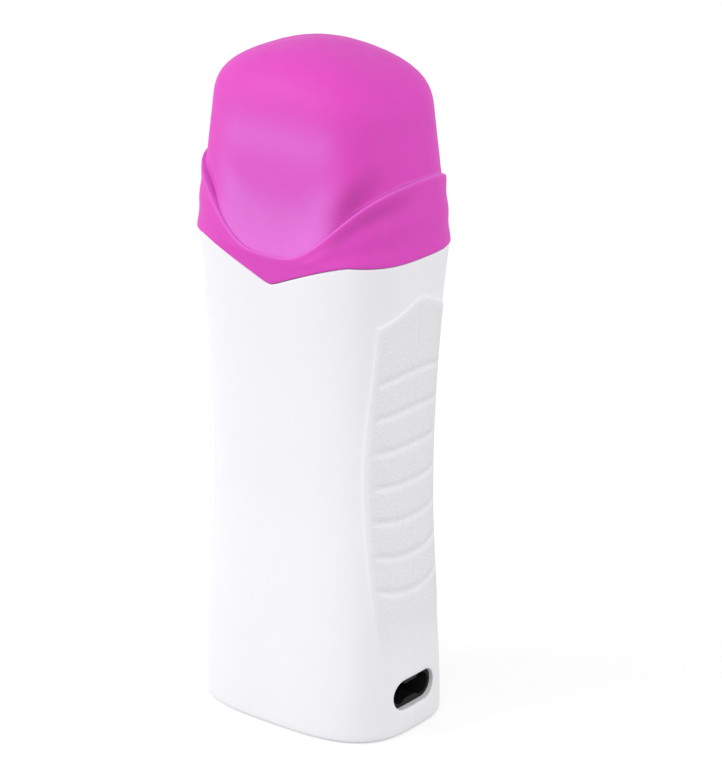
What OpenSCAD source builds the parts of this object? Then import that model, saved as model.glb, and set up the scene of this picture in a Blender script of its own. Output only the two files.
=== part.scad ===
// Handheld roll-on wax warmer: a waisted clamshell body with a heated
// chamber, a roll-on wax cartridge standing in it and a domed cap over both.
// Millimetres. Z is up, X runs across the wide faces, Y through the body.
// The origin is the middle of the foot, on the surface the warmer stands on.

/* [Body] */
// Width of the body at the foot
base_w = 73; // [71:0.5:80]
// Depth of the body at the foot
base_d = 52; // [50:0.5:58]
// Width of the body at the waist
waist_w = 68.4; // [68:0.2:72]
// Depth of the body at the waist
waist_d = 44.4; // [43.4:0.2:47]
// Height of the waist
waist_z = 78; // [66:1:92]
// Width of the body at the cap line
rim_w = 76.2; // [74:0.2:80]
// Depth of the body at the cap line
rim_d = 52.6; // [50:0.2:56]
// Height of the cap line on the narrow sides
cap_line_z = 153; // [150:0.5:158]
// How far the cap line drops to its point on each wide face
cap_line_dip = 9.6; // [4:0.2:12]
// Half-width of the pointed drop in the cap line
dip_reach = 26; // [20:1:32]
// Squareness of the body's section, where 2 is an ellipse
squareness = 3.1; // [2.7:0.1:3.6]
// Thickness of the moulded shells
shell_wall = 2.4; // [2:0.1:2.8]
// Rounding of the foot's edge
foot_round = 1.4; // [0.6:0.1:2]
// Width of the parting line down the narrow sides
seam_w = 0.2; // [0.1:0.05:0.6]
// Depth of the parting line
seam_depth = 0.2; // [0.1:0.05:0.6]

/* [Grip panels] */
// Width of each grip panel across the narrow side
panel_w = 33.4; // [28:0.2:34]
// Height where the panel's side edges end at the top
panel_top_z = 134.5; // [128:0.5:138]
// Rise of the panel's top edge to its point
panel_peak = 6.5; // [3:0.5:9]
// Height of the panel's lower end
panel_low_z = 25; // [22:1:32]
// How far the panel stands proud of the body's surface
panel_rise = 0.4; // [0.2:0.05:0.6]
// Number of finger grooves
groove_count = 7; // [5:1:8]
// Distance between finger grooves
groove_pitch = 11.8; // [10:0.2:12]
// Height of the lowest groove
groove_low_z = 47; // [44:1:50]
// Length of a groove across the panel
groove_span = 28.2; // [20:0.2:29.4]
// Bow of the top groove, its middle above its ends
groove_bow_top = 1.8; // [0:0.2:3]
// Bow of the lowest groove, its middle below its ends
groove_bow_low = 2.7; // [0:0.2:3.6]
// Width of a finger groove
groove_w = 1.9; // [1.2:0.1:2.4]
// Depth of a finger groove
groove_depth = 0.55; // [0.3:0.05:0.7]

/* [Cap] */
// Height of the whole warmer with its cap on
cap_top_z = 213; // [209:0.5:216]
// Height where the cap's walls turn into its dome
dome_z = 191; // [188:0.5:196]
// Fullness of the dome's shoulders, where 2 is an ellipse
dome_fullness = 3.5; // [2:0.1:4]
// Inward lean of the dome's walls, in millimetres per millimetre of height
dome_lean = 0.08; // [0:0.01:0.12]
// Fall of the dome from its middle to the narrow sides, in millimetres per millimetre
ridge_fall = 0.13; // [0:0.01:0.16]
// Rounding of the dome's low ridge
ridge_round = 5; // [2:0.5:12]
// Width of the crown at the dome
crown_w = 67; // [64:0.2:69]
// Depth of the crown at the dome
crown_d = 45.6; // [43.4:0.2:47]
// Wall of the cap
cap_wall = 1.8; // [1.4:0.1:2]
// How far the cap stands proud of the body at the cap line
cap_proud = 0.3; // [0:0.1:0.6]
// Inward lean of the cap's skirt, in millimetres per millimetre of height
cap_draft = 0.07; // [0.04:0.01:0.11]
// Height of the skirt's lip at the middle of each wide face
lip_low_z = 152.7; // [151:0.1:155]
// Height of the skirt's lip at the middle of each narrow side
lip_high_z = 177.5; // [174:0.5:181]
// Step in from the skirt to the crown
lip_step = 1.4; // [1:0.1:1.6]
// Height of the cove above the lip on the wide faces
cove_h = 8; // [5:0.5:10]
// Depth of the two soft folds in the skirt's narrow sides
fold_depth = 0.55; // [0:0.05:0.6]
// Running gap between the cap and the body's neck
cap_gap = 0.3; // [0.2:0.05:0.4]
// Height of the neck's rim inside the cap
neck_top_z = 165; // [163:0.5:168]
// Wall of the neck
neck_wall = 2; // [1.6:0.1:2.2]

/* [Heated chamber] */
// Outer width of the cartridge's bottle
bottle_w = 52; // [48:0.5:53]
// Outer depth of the cartridge's bottle
bottle_d = 32.4; // [30:0.2:33]
// Gap between the bottle and the heated sleeve
sleeve_gap = 0.4; // [0.3:0.05:0.6]
// Thickness of the heated sleeve
sleeve_wall = 1.2; // [0.8:0.1:1.4]
// Height of the underside of the sleeve's floor
sleeve_z = 64; // [62:0.5:68]
// Height of the sleeve's hanging flange
flange_z = 156; // [154.5:0.5:157]
// Reach of the sleeve's flange beyond its wall
flange_reach = 2.4; // [2:0.1:3]
// Thickness of the silicone gasket on the flange
gasket_t = 1.4; // [1:0.1:2]
// Thickness of the collar's top plate
collar_t = 1.4; // [1:0.1:2]

/* [Heater] */
// Length of the heating element
ptc_l = 30; // [24:0.5:32]
// Width of the heating element
ptc_w = 18; // [14:0.5:20]
// Thickness of the heating element
ptc_t = 3; // [2:0.1:3.4]
// Thickness of each brass electrode
electrode_t = 0.5; // [0.3:0.1:0.6]
// Thickness of each insulating sheet
film_t = 0.3; // [0.2:0.05:0.4]
// Thickness of the clamp plate
clamp_t = 1.2; // [1:0.1:1.6]
// Distance between the two clamp screws
clamp_pitch = 41; // [38:0.5:43]
// Diameter of the thermostat's body
thermostat_d = 16; // [14:0.5:17]
// Height of the thermostat's body
thermostat_h = 7; // [6:0.5:9]
// Diameter of the thermal fuse
fuse_d = 4; // [3.4:0.1:4.4]
// Length of the thermal fuse
fuse_l = 11; // [9:0.5:13]

/* [Mains inlet] */
// Width of the inlet's face
inlet_w = 19.6; // [18:0.2:23]
// Height of the inlet's face
inlet_h = 9.4; // [8.8:0.2:12]
// Height of the inlet's centre
inlet_z = 13; // [12:0.5:16]
// Length of the inlet's moulding
inlet_l = 17; // [15:0.5:19]
// Rim round the inlet's socket
inlet_rim = 1.2; // [0.9:0.1:1.4]
// How far the inlet's face lies inside the body's side
inlet_recess = 2.1; // [0.5:0.1:2.4]
// Distance between the two contact pins
pin_pitch = 8.6; // [8:0.1:9]
// Diameter of a contact pin
pin_d = 2.4; // [2.2:0.1:2.6]
// Free length of a contact pin
pin_l = 7; // [6:0.5:8]
// Depth of the socket
socket_depth = 11.5; // [10:0.5:12.5]

/* [Screws, lamp and wires] */
// Distance between the shell screws
screw_pitch = 38; // [34:1:44]
// Height of the shell screws
screw_z = 34; // [30:1:40]
// Diameter of a shell screw's shank
screw_d = 3; // [2.5:0.1:3.2]
// Diameter of a shell screw's head
screw_head_d = 5.6; // [5:0.1:6]
// Length of a shell screw under its head
screw_l = 16; // [12:1:18]
// Depth of plastic between a shell screw's head and the parting plane
screw_seat_y = 5; // [3:0.5:7]
// Diameter of the pilot lamp's lens
lens_d = 5; // [4:0.5:6]
// Height of the pilot lamp
lens_z = 46; // [42:1:50]
// Diameter of the insulated wires
wire_d = 1.8; // [1.4:0.1:2]

/* [Cartridge] */
// Height of the bottle's straight part
bottle_h = 86; // [80:1:90]
// Wall of the bottle
bottle_wall = 1.1; // [0.9:0.1:1.4]
// Width of the cartridge head at its foot
head_w = 58; // [55:0.5:60]
// Depth of the cartridge head at its foot
head_d = 37; // [35:0.5:38]
// Diameter of the roller
roller_d = 20; // [17:0.5:21]
// Length of the roller
roller_l = 44; // [38:0.5:46]
// Height of the roller's axis above the collar
roller_rise = 23; // [21:0.5:24]
// Diameter of the roller's end journals
journal_d = 4; // [3:0.2:5]
// Gap all round a journal in its ear
journal_gap = 0.08; // [0.05:0.01:0.1]
// Gap between the roller and its frame
roller_gap = 0.6; // [0.4:0.1:0.8]
// Thickness of the head's two ears
ear_t = 3; // [2.4:0.1:3.2]

/* [Hidden] */

// Points round one section of the body, the neck and the cap
section_steps = 52;
// Steps of each loft between its driving heights
body_steps = 11;
panel_steps = 9;
cavity_steps = 5;
fold_steps = 7;
cove_steps = 3;
wall_steps = 2;
dome_steps = 6;
inner_dome_steps = 4;
// Straight lengths that make up one finger groove; odd, so that none starts at its middle
groove_steps = 5;
// Small gap that keeps fixed neighbours from sharing a surface
seat_gap = 0.1;
// Overlap that lets a cut break cleanly through a face
cut = 0.5;
// Facets of a bead that is hulled along a groove
bead_fn = 8;

white_plastic = "#f7f8fa";
black_plastic = "#1d1d1f";
cap_magenta = "#e055c8";
clear_plastic = "#e9e4d6";
wax_amber = "#d98ab0";
aluminium_grey = "#c4c7ca";
steel_grey = "#9da1a5";
brass_yellow = "#c9a04e";
ceramic_grey = "#6f6a66";
silicone_grey = "#b9b4b0";

// ---- heights and half-sizes that several pieces share ----
flange_t = sleeve_wall;
ledge_t = 3;
ledge_z = flange_z - ledge_t;
gasket_z = flange_z + flange_t;
collar_z = gasket_z + gasket_t;
collar_top_z = neck_top_z + collar_t;
sleeve_in_w = bottle_w + 2 * sleeve_gap;
sleeve_in_d = bottle_d + 2 * sleeve_gap;
sleeve_w = sleeve_in_w + 2 * sleeve_wall;
sleeve_d = sleeve_in_d + 2 * sleeve_wall;
flange_w = sleeve_w + 2 * flange_reach;
flange_d = sleeve_d + 2 * flange_reach;
bottle_z = sleeve_z + sleeve_wall + 0.3;
bottle_top_z = bottle_z + bottle_h;

// ---- shared section and loft functions ----

// Power that keeps the sign of its base
function signed_pow(v, e) = sign(v) * pow(abs(v), e);

// Parameter of point i, spread so that flat faces get enough points
function turn(i) = let (a = 360 * i / section_steps) a - 5.5 * sin(4 * a);

// Unit section point at parameter t
function unit_x(t) = signed_pow(cos(t), 2 / squareness);
function unit_y(t) = signed_pow(sin(t), 2 / squareness);

// One point of a section whose half-sizes are h
function section_point(t, h, z) = [h[0] * unit_x(t), h[1] * unit_y(t), z];

// Flat outline with the body's section, for parts that follow it
function outline(w, d) = [for (i = [0 : section_steps - 1])
    [w / 2 * unit_x(turn(i)), d / 2 * unit_y(turn(i))]];

// Share of the change between waist and foot, or waist and cap line
function flare(z) = z < waist_z
    ? (1 - cos(180 * (waist_z - z) / waist_z)) / 2
    : pow((z - waist_z) / (cap_line_z - waist_z), 2);

// Half-sizes of the body at height z, inset by the given amount
function body_half(z, inset) = let (f = flare(z))
    [(z < waist_z ? waist_w + (base_w - waist_w) * f : waist_w + (rim_w - waist_w) * f) / 2 - inset,
     (z < waist_z ? waist_d + (base_d - waist_d) * f : waist_d + (rim_d - waist_d) * f) / 2 - inset];

// Height of the cap line at parameter t
function cap_line(t) = let (s = min(1, abs(unit_x(t)) * rim_w / 2 / dip_reach))
    cap_line_z - cap_line_dip * pow(1 - s, 1.2);

// Half-sizes of the cap's skirt at height z, inset by the given amount: it follows the
// body below the cap line and leans inwards above it
function skirt_half(z, inset) = let (lean = cap_draft * max(0, z - cap_line_z))
    body_half(min(z, cap_line_z), inset - cap_proud + lean);

// Share of a narrow side at parameter t: 1 at its middle, 0 at the middle of a wide face
function narrow_share(t) = let (x = rim_w * unit_x(t), y = rim_d * unit_y(t)) x * x / (x * x + y * y);

// Height of the skirt's lip at parameter t
function lip_line(t) = mix(lip_low_z, lip_high_z, narrow_share(t));

// Inset of the neck from the skirt's outside, deeper where the crown narrows inside the cap
function neck_in(t) = cap_wall + cap_gap + lip_step * min(1, 3 * (1 - narrow_share(t)));

function mix(a, b, f) = a * (1 - f) + b * f;

// Closed solid over rings of equal length, listed from the bottom up
module loft(rings) {
    n = len(rings[0]);
    last = len(rings) - 1;
    sides = [for (j = [0 : last - 1], i = [0 : n - 1])
        let (a = j * n + i, b = j * n + (i + 1) % n, c = b + n, d = a + n)
        each [[a, d, c], [a, c, b]]];
    foot = [[for (i = [0 : n - 1]) i]];
    lid = [[for (i = [n - 1 : -1 : 0]) last * n + i]];
    polyhedron(points = [for (r = rings) each r], faces = concat(foot, sides, lid));
}

// ---- body shells ----

// Rings of the body from the foot to the cap line
function body_rings() = concat(
    [for (a = [90, 45])
        [for (i = [0 : section_steps - 1]) let (t = turn(i), z = foot_round * (1 - sin(a)))
            section_point(t, body_half(z, foot_round * (1 - cos(a))), z)]],
    [for (k = [0 : body_steps])
        [for (i = [0 : section_steps - 1])
            let (t = turn(i), z = mix(foot_round, cap_line(t), k / body_steps))
            section_point(t, body_half(z, 0), z)]]);

// Rings of the neck that the cap slides over
function neck_rings() = [for (f = [0, 1])
    [for (i = [0 : section_steps - 1]) let (t = turn(i), z = mix(cap_line(t), neck_top_z, f))
        section_point(t, skirt_half(z, neck_in(t)), z)]];

// Level rings of the body's form, inset evenly, for cavities and cutters
function level_rings(z0, z1, steps, inset) = [for (k = [0 : steps])
    [for (i = [0 : section_steps - 1]) let (z = mix(z0, z1, k / steps))
        section_point(turn(i), body_half(z, inset), z)]];

// How far the grip panel stands proud at height z; it runs out at its lower end
function panel_proud(z) = panel_rise * min(1, max(-0.4, (z - panel_low_z) / 14));

// Form that the grip panels' surfaces lie on
module panel_form() {
    top = panel_top_z + panel_peak + 2;
    loft([for (k = [0 : panel_steps])
        [for (i = [0 : section_steps - 1]) let (z = mix(panel_low_z - 6, top, k / panel_steps))
            section_point(turn(i), body_half(z, -panel_proud(z)), z)]]);
}

// Side edge of a grip panel from its top corner down: [share of half-width, share of height]
panel_edge = [[0.93, 1], [0.938, 0.89], [0.974, 0.77], [0.996, 0.65], [1, 0.54], [0.984, 0.44],
    [0.973, 0.36], [0.962, 0.25], [0.94, 0.17], [0.9, 0.09], [0.84, 0.05], [0.68, 0.016], [0.4, 0]];
// Top edge from its point out to the corner: [share of half-width, share of the peak]
panel_top = [[0, 1], [0.2, 0.89], [0.6, 0.46]];

// Outline of half a grip panel, seen along X: [y, z]
panel_half = concat(
    [for (p = panel_top) [p[0] * panel_w / 2, panel_top_z + p[1] * panel_peak]],
    [for (p = panel_edge) [p[0] * panel_w / 2, mix(panel_low_z, panel_top_z, p[1])]]);

module panel_window() {
    mirrored = [for (k = [len(panel_half) - 1 : -1 : 1]) [-panel_half[k][0], panel_half[k][1]]];
    reach = rim_w;
    translate([-reach, 0, 0]) rotate([90, 0, 90]) linear_extrude(2 * reach)
        polygon(concat(panel_half, mirrored));
}

module grip_panels() {
    intersection() {
        panel_window();
        panel_form();
    }
}

// Radius of the bead that cuts a groove of the given width and depth
bead_r = (groove_w * groove_w / 4 + groove_depth * groove_depth) / (2 * groove_depth);

// One shallow groove bowed across a grip panel
module finger_groove(z, bow, side) {
    function x_at(y, h) = let (half = body_half(h, -panel_rise))
        half[0] * pow(1 - pow(abs(y) / half[1], squareness), 1 / squareness);
    function spot(k) = let (u = 2 * k / groove_steps - 1, y = u * groove_span / 2, h = z - bow * u * u)
        [side * (x_at(y, h) + bead_r - groove_depth), y, h];
    for (k = [0 : groove_steps - 1]) hull() {
        translate(spot(k)) sphere(r = bead_r, $fn = bead_fn);
        translate(spot(k + 1)) sphere(r = bead_r, $fn = bead_fn);
    }
}

module finger_grooves() {
    for (side = [-1, 1], g = [0 : groove_count - 1])
        finger_groove(groove_low_z + g * groove_pitch,
                      mix(-groove_bow_low, groove_bow_top, g / (groove_count - 1)), side);
}

// Inset of the bay's wall at height z, drawn in where the neck starts below the cap's points
neck_start_z = cap_line_z - cap_line_dip;
bay_draw_in = cap_wall + cap_gap + lip_step + neck_wall;
draw_in_rise = 11;
draw_in_z = neck_start_z - draw_in_rise - 3;
function bay_inset(z) = mix(shell_wall, bay_draw_in, min(1, max(0, (z - draw_in_z) / draw_in_rise)));

// Hollow of the body: lower bay, throat for the sleeve and the open neck
module body_hollow() {
    low_part = [for (k = [0 : cavity_steps]) mix(shell_wall, draw_in_z, k / cavity_steps)];
    loft([for (z = concat(low_part, [draw_in_z + draw_in_rise, ledge_z]))
        [for (i = [0 : section_steps - 1]) section_point(turn(i), body_half(z, bay_inset(z)), z)]]);
    translate([0, 0, ledge_z - cut]) linear_extrude(ledge_t + 2 * cut)
        polygon(outline(sleeve_w + 2 * seat_gap, sleeve_d + 2 * seat_gap));
    loft([for (z = [flange_z, neck_top_z + cut])
        [for (i = [0 : section_steps - 1])
            section_point(turn(i), skirt_half(z, bay_draw_in), z)]]);
    // seat of the flange and its gasket
    translate([0, 0, flange_z]) linear_extrude(collar_z - flange_z)
        polygon(outline(flange_w + 2 * seat_gap, flange_d + 2 * seat_gap));
}

// Rounded slot outline of the inlet, seen along X
module slot_shape(w, h) {
    for (s = [-1, 1]) translate([s * (w - h) / 2, 0]) circle(d = h, $fn = 32);
    square([w - h, h], center = true);
}

// Bar with the inlet's rounded outline from x0 to x1
module slot_bar(w, h, x0, x1) {
    translate([x0, 0, inlet_z]) rotate([90, 0, 90]) linear_extrude(x1 - x0) slot_shape(w, h);
}

// Place of the inlet's face and back along X
inlet_face_x = body_half(inlet_z, inlet_recess)[0];
inlet_back_x = inlet_face_x - inlet_l;
inlet_flange_x = inlet_face_x - 6;
inlet_flange_t = 2;
inlet_flange_out = 1.4;

// Ribs on both sides of the inlet's flange, which trap it between the shells
module inlet_ribs() {
    rib_t = 1.6;
    for (x = [inlet_flange_x - inlet_flange_t - seat_gap - rib_t, inlet_flange_x + seat_gap])
        difference() {
            translate([x, -base_d / 2, 1]) cube([rib_t, base_d, inlet_z + inlet_h / 2 + 3]);
            slot_bar(inlet_w + 0.3, inlet_h + 0.3, x - cut, x + rib_t + cut);
        }
}

// Screw bosses; the screws run along Y from deep recesses in the rear
boss_d = screw_head_d + 3.2;
module screw_bosses() {
    for (s = [-1, 1]) translate([s * screw_pitch / 2, base_d / 2, screw_z])
        rotate([90, 0, 0]) cylinder(d = boss_d, h = base_d, $fn = 32);
}

module screw_holes() {
    for (s = [-1, 1]) translate([s * screw_pitch / 2, 0, screw_z]) rotate([-90, 0, 0]) {
        translate([0, 0, screw_seat_y]) cylinder(d = screw_head_d + 0.5, h = base_d, $fn = 32);
        translate([0, 0, -cut]) cylinder(d = screw_d + 0.3, h = base_d, $fn = 32);
        translate([0, 0, screw_seat_y - screw_l - 1])
            cylinder(d = screw_d + 0.1, h = screw_l + 1, $fn = 32);
    }
}

// Slim pads inside the bay that steady the sleeve near its foot and near its middle
pad_w = 18;
pad_t = 3;
pad_places = [18, 66];
module sleeve_pads() {
    for (side = [-1, 1], z = pad_places)
        translate([side * (sleeve_w / 2 + seat_gap), -pad_w / 2, sleeve_z + z])
            translate([side < 0 ? -base_w : 0, 0, 0]) cube([base_w, pad_w, pad_t]);
}

// Hole for the pilot lamp in the rear wall and the posts that carry its board
rear_wall_y = body_half(lens_z, 0)[1];
board_t = 1.2;
board_w = 18;
board_h = 11;
led_h = 5;
lens_flange_t = 1;
board_y = rear_wall_y - shell_wall - lens_flange_t - led_h - 0.4;

module lamp_hole() {
    translate([0, 0, lens_z]) rotate([-90, 0, 0]) cylinder(d = lens_d + 0.2, h = base_d, $fn = 28);
}

module lamp_posts() {
    for (s = [-1, 1]) translate([s * (board_w / 2 - 2.5), board_y, lens_z])
        rotate([-90, 0, 0]) cylinder(d = 3.4, h = base_d / 2, $fn = 20);
}

// Parting line round both narrow sides
module seam_cut() {
    difference() {
        translate([-rim_w, -seam_w / 2, -cut]) cube([2 * rim_w, seam_w, neck_top_z + 2 * cut]);
        loft(level_rings(seam_depth, neck_top_z + 2, body_steps, seam_depth));
    }
}

module shell_pair() {
    difference() {
        intersection() {
            union() {
                loft(concat(body_rings(), neck_rings()));
                grip_panels();
            }
            union() {
                difference() {
                    translate([-rim_w, -rim_d, 0]) cube([2 * rim_w, 2 * rim_d, neck_top_z]);
                    body_hollow();
                }
                inlet_ribs();
                screw_bosses();
                sleeve_pads();
                lamp_posts();
            }
        }
        finger_grooves();
        seam_cut();
        slot_bar(inlet_w + 0.3, inlet_h + 0.3, inlet_face_x - 5, base_w);
        slot_bar(inlet_w + 2 * inlet_flange_out + 0.3, inlet_h + 2 * inlet_flange_out + 0.3,
                 inlet_flange_x - inlet_flange_t - seat_gap, inlet_flange_x + seat_gap);
        screw_holes();
        lamp_hole();
    }
}

module half_space(side) {
    translate([-rim_w, side < 0 ? -rim_d : 0, -cut]) cube([2 * rim_w, rim_d, cap_top_z]);
}

module front_shell() {
    color(white_plastic) intersection() {
        shell_pair();
        half_space(-1);
    }
}

module rear_shell() {
    color(white_plastic) intersection() {
        shell_pair();
        half_space(1);
    }
}

// ---- mouth and heated chamber ----

collar_plug = skirt_half(neck_top_z, bay_draw_in + seat_gap);
collar_plate = skirt_half(neck_top_z, cap_wall + cap_gap + lip_step + 0.2);

// Ring pressed into the neck; it holds the shells together and guides the cartridge
module neck_collar() {
    color(white_plastic) difference() {
        union() {
            translate([0, 0, collar_z]) linear_extrude(neck_top_z - collar_z)
                polygon(outline(2 * collar_plug[0], 2 * collar_plug[1]));
            translate([0, 0, neck_top_z]) linear_extrude(collar_t)
                polygon(outline(2 * collar_plate[0], 2 * collar_plate[1]));
        }
        translate([0, 0, collar_z - cut]) linear_extrude(collar_top_z - collar_z + 2 * cut)
            polygon(outline(sleeve_in_w, sleeve_in_d));
    }
}

module collar_gasket() {
    color(silicone_grey) translate([0, 0, gasket_z]) linear_extrude(gasket_t) difference() {
        polygon(outline(flange_w, flange_d));
        polygon(outline(sleeve_in_w + 1, sleeve_in_d + 1));
    }
}

// Heights of the heater's layers under the sleeve's floor
top_film_z = sleeve_z - film_t;
top_electrode_z = top_film_z - electrode_t;
ptc_z = top_electrode_z - ptc_t;
low_electrode_z = ptc_z - electrode_t;
low_film_z = low_electrode_z - film_t;
clamp_z = low_film_z - clamp_t;

clamp_screw_d = 3;
clamp_boss_d = 5.4;
clamp_head_d = 5;
clamp_head_h = 2;

// Drawn aluminium sleeve with a floor, a hanging flange and two threaded bosses
module heater_sleeve() {
    color(aluminium_grey) difference() {
        union() {
            translate([0, 0, sleeve_z]) linear_extrude(flange_z + flange_t - sleeve_z)
                polygon(outline(sleeve_w, sleeve_d));
            translate([0, 0, flange_z]) linear_extrude(flange_t)
                polygon(outline(flange_w, flange_d));
            for (s = [-1, 1]) translate([s * clamp_pitch / 2, 0, clamp_z + clamp_t])
                cylinder(d = clamp_boss_d, h = sleeve_z - clamp_z - clamp_t + cut, $fn = 32);
        }
        translate([0, 0, sleeve_z + sleeve_wall]) linear_extrude(flange_z)
            polygon(outline(sleeve_in_w, sleeve_in_d));
        for (s = [-1, 1]) translate([s * clamp_pitch / 2, 0, clamp_z])
            cylinder(d = clamp_screw_d + 0.1, h = sleeve_z - clamp_z, $fn = 32);
    }
}

// ---- heater under the chamber ----

module heating_element() {
    color(ceramic_grey) translate([-ptc_l / 2, -ptc_w / 2, ptc_z]) cube([ptc_l, ptc_w, ptc_t]);
}

tab_w = 4.8;
tab_l = 7;
tab_t = 0.8;
// Gap round a tab in the part that it pushes into
tab_gap = 0.05;
electrode_tab_y = -ptc_w / 2 - 2.4;
electrode_tab_z = clamp_z - 0.5;
electrode_tabs = [[top_electrode_z, 8], [low_electrode_z, -2]];

// Two plates, each with a strip that turns down into a push-on tab
module brass_electrodes() {
    color(brass_yellow) for (e = electrode_tabs) {
        translate([-ptc_l / 2, -ptc_w / 2, e[0]]) cube([ptc_l, ptc_w, electrode_t]);
        translate([e[1] - tab_w / 2, electrode_tab_y - electrode_t / 2, e[0]])
            cube([tab_w, -ptc_w / 2 - electrode_tab_y + 1, electrode_t]);
        translate([e[1] - tab_w / 2, electrode_tab_y - electrode_t / 2, electrode_tab_z - tab_l + 1])
            cube([tab_w, electrode_t, e[0] + electrode_t - electrode_tab_z + tab_l - 1]);
    }
}

module insulating_sheets() {
    color("#c98a3a") for (z = [top_film_z, low_film_z])
        translate([-ptc_l / 2 - 1, -ptc_w / 2 - 1, z]) cube([ptc_l + 2, ptc_w + 2, film_t]);
}

// Spring-steel plate that presses the element against the sleeve's floor
module clamp_plate() {
    clamp_w = 14;
    color(steel_grey) translate([0, 0, clamp_z]) linear_extrude(clamp_t) difference() {
        union() {
            square([clamp_pitch, clamp_w], center = true);
            for (s = [-1, 1]) translate([s * clamp_pitch / 2, 0]) circle(d = clamp_w / 2 + 2, $fn = 40);
        }
        for (s = [-1, 1]) translate([s * clamp_pitch / 2, 0]) circle(d = clamp_screw_d + 0.4, $fn = 32);
    }
}

module clamp_screws() {
    color(steel_grey) for (s = [-1, 1]) translate([s * clamp_pitch / 2, 0, clamp_z]) {
        translate([0, 0, -clamp_head_h]) cylinder(d = clamp_head_d, h = clamp_head_h, $fn = 32);
        cylinder(d = clamp_screw_d, h = sleeve_z - clamp_z - 0.8, $fn = 32);
    }
}

thermostat_z = clamp_z - thermostat_h;
thermostat_base_h = 3;
thermostat_base_z = thermostat_z - thermostat_base_h;

module thermostat() {
    color(ceramic_grey) {
        translate([0, 0, thermostat_z]) cylinder(d = thermostat_d, h = thermostat_h, $fn = 48);
        translate([0, 0, thermostat_base_z])
            cylinder(d = thermostat_d - 3, h = thermostat_base_h + cut, $fn = 48);
        for (s = [-1, 1])
            translate([s * thermostat_tab_x - tab_t / 2, -tab_w / 2, thermostat_base_z - tab_l])
                cube([tab_t, tab_w, tab_l + 1]);
    }
}

fuse_wall = 0.5;
fuse_x = -(thermostat_d / 2 + fuse_d / 2 + fuse_wall + 0.6);
fuse_z = clamp_z - fuse_d / 2 - fuse_wall;
fuse_lead_d = 1;
fuse_lead_l = 3.5;

module along_y(x, y, z) {
    translate([x, y, z]) rotate([-90, 0, 0]) children();
}

module thermal_fuse() {
    color(steel_grey) {
        along_y(fuse_x, -fuse_l / 2, fuse_z) cylinder(d = fuse_d - 0.1, h = fuse_l, $fn = 32);
        along_y(fuse_x, -fuse_l / 2 - fuse_lead_l, fuse_z)
            cylinder(d = fuse_lead_d, h = fuse_l + 2 * fuse_lead_l, $fn = 16);
    }
}

// Glass-fibre tube round the fuse
module fuse_sleeve() {
    color("#e6e0d2") along_y(fuse_x, -fuse_l / 2 - 1, fuse_z) difference() {
        cylinder(d = fuse_d + 2 * fuse_wall, h = fuse_l + 2, $fn = 32);
        translate([0, 0, -cut]) cylinder(d = fuse_d, h = fuse_l + 2 + 2 * cut, $fn = 32);
    }
}

// ---- mains inlet ----

// Bar of two joined rounds, the two-pin socket's own shape
module figure_eight(w, h, x0, x1) {
    waist = h * 0.72;
    translate([x0, 0, inlet_z]) rotate([90, 0, 90]) linear_extrude(x1 - x0) {
        for (s = [-1, 1]) translate([s * (w - h) / 2, 0]) circle(d = h, $fn = 40);
        square([w - h, waist], center = true);
    }
}

socket_w = inlet_w - 2 * inlet_rim;
socket_h = inlet_h - 2 * inlet_rim;
socket_floor_x = inlet_face_x - socket_depth;

module mains_inlet() {
    color(black_plastic) difference() {
        union() {
            slot_bar(inlet_w, inlet_h, inlet_back_x, inlet_face_x);
            slot_bar(inlet_w + 2 * inlet_flange_out, inlet_h + 2 * inlet_flange_out,
                     inlet_flange_x - inlet_flange_t, inlet_flange_x);
        }
        figure_eight(socket_w, socket_h, socket_floor_x, inlet_face_x + cut);
        for (s = [-1, 1]) translate([inlet_back_x - cut, s * pin_pitch / 2, inlet_z])
            translate([0, -tab_w / 2 - tab_gap, -tab_t / 2 - tab_gap])
                cube([inlet_l, tab_w + 2 * tab_gap, tab_t + 2 * tab_gap]);
    }
}

// Round contact pins, each in one piece with the flat tab behind it
module inlet_pins() {
    color(brass_yellow) for (s = [-1, 1]) {
        translate([socket_floor_x, s * pin_pitch / 2, inlet_z]) rotate([0, 90, 0])
            cylinder(d = pin_d, h = pin_l, $fn = 32);
        translate([inlet_back_x - tab_l, s * pin_pitch / 2 - tab_w / 2, inlet_z - tab_t / 2])
            cube([socket_floor_x - inlet_back_x + tab_l, tab_w, tab_t]);
    }
}

// ---- wiring ----

// Sleeved receptacle that pushes over a tab; its mouth is at the origin, facing +Z
module push_on(t) {
    w = tab_w + 1.6;
    translate([-w / 2, -1.5, -tab_l]) difference() {
        cube([w, 3, tab_l]);
        translate([w / 2 - tab_w / 2 - tab_gap, 1.5 - t / 2 - tab_gap, 0.5])
            cube([tab_w + 2 * tab_gap, t + 2 * tab_gap, tab_l]);
    }
}

inlet_tab_x = inlet_back_x - 0.6;
thermostat_tab_z = thermostat_base_z - 0.6;
thermostat_tab_x = 4;

module push_on_terminals() {
    color(clear_plastic) {
        for (s = [-1, 1]) translate([inlet_tab_x, s * pin_pitch / 2, inlet_z])
            rotate([0, 90, 0]) rotate([0, 0, 90]) push_on(tab_t);
        for (s = [-1, 1]) translate([s * thermostat_tab_x, 0, thermostat_tab_z])
            rotate([0, 0, 90]) push_on(tab_t);
        for (e = electrode_tabs)
            translate([e[1], electrode_tab_y, electrode_tab_z]) push_on(electrode_t);
    }
}

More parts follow.
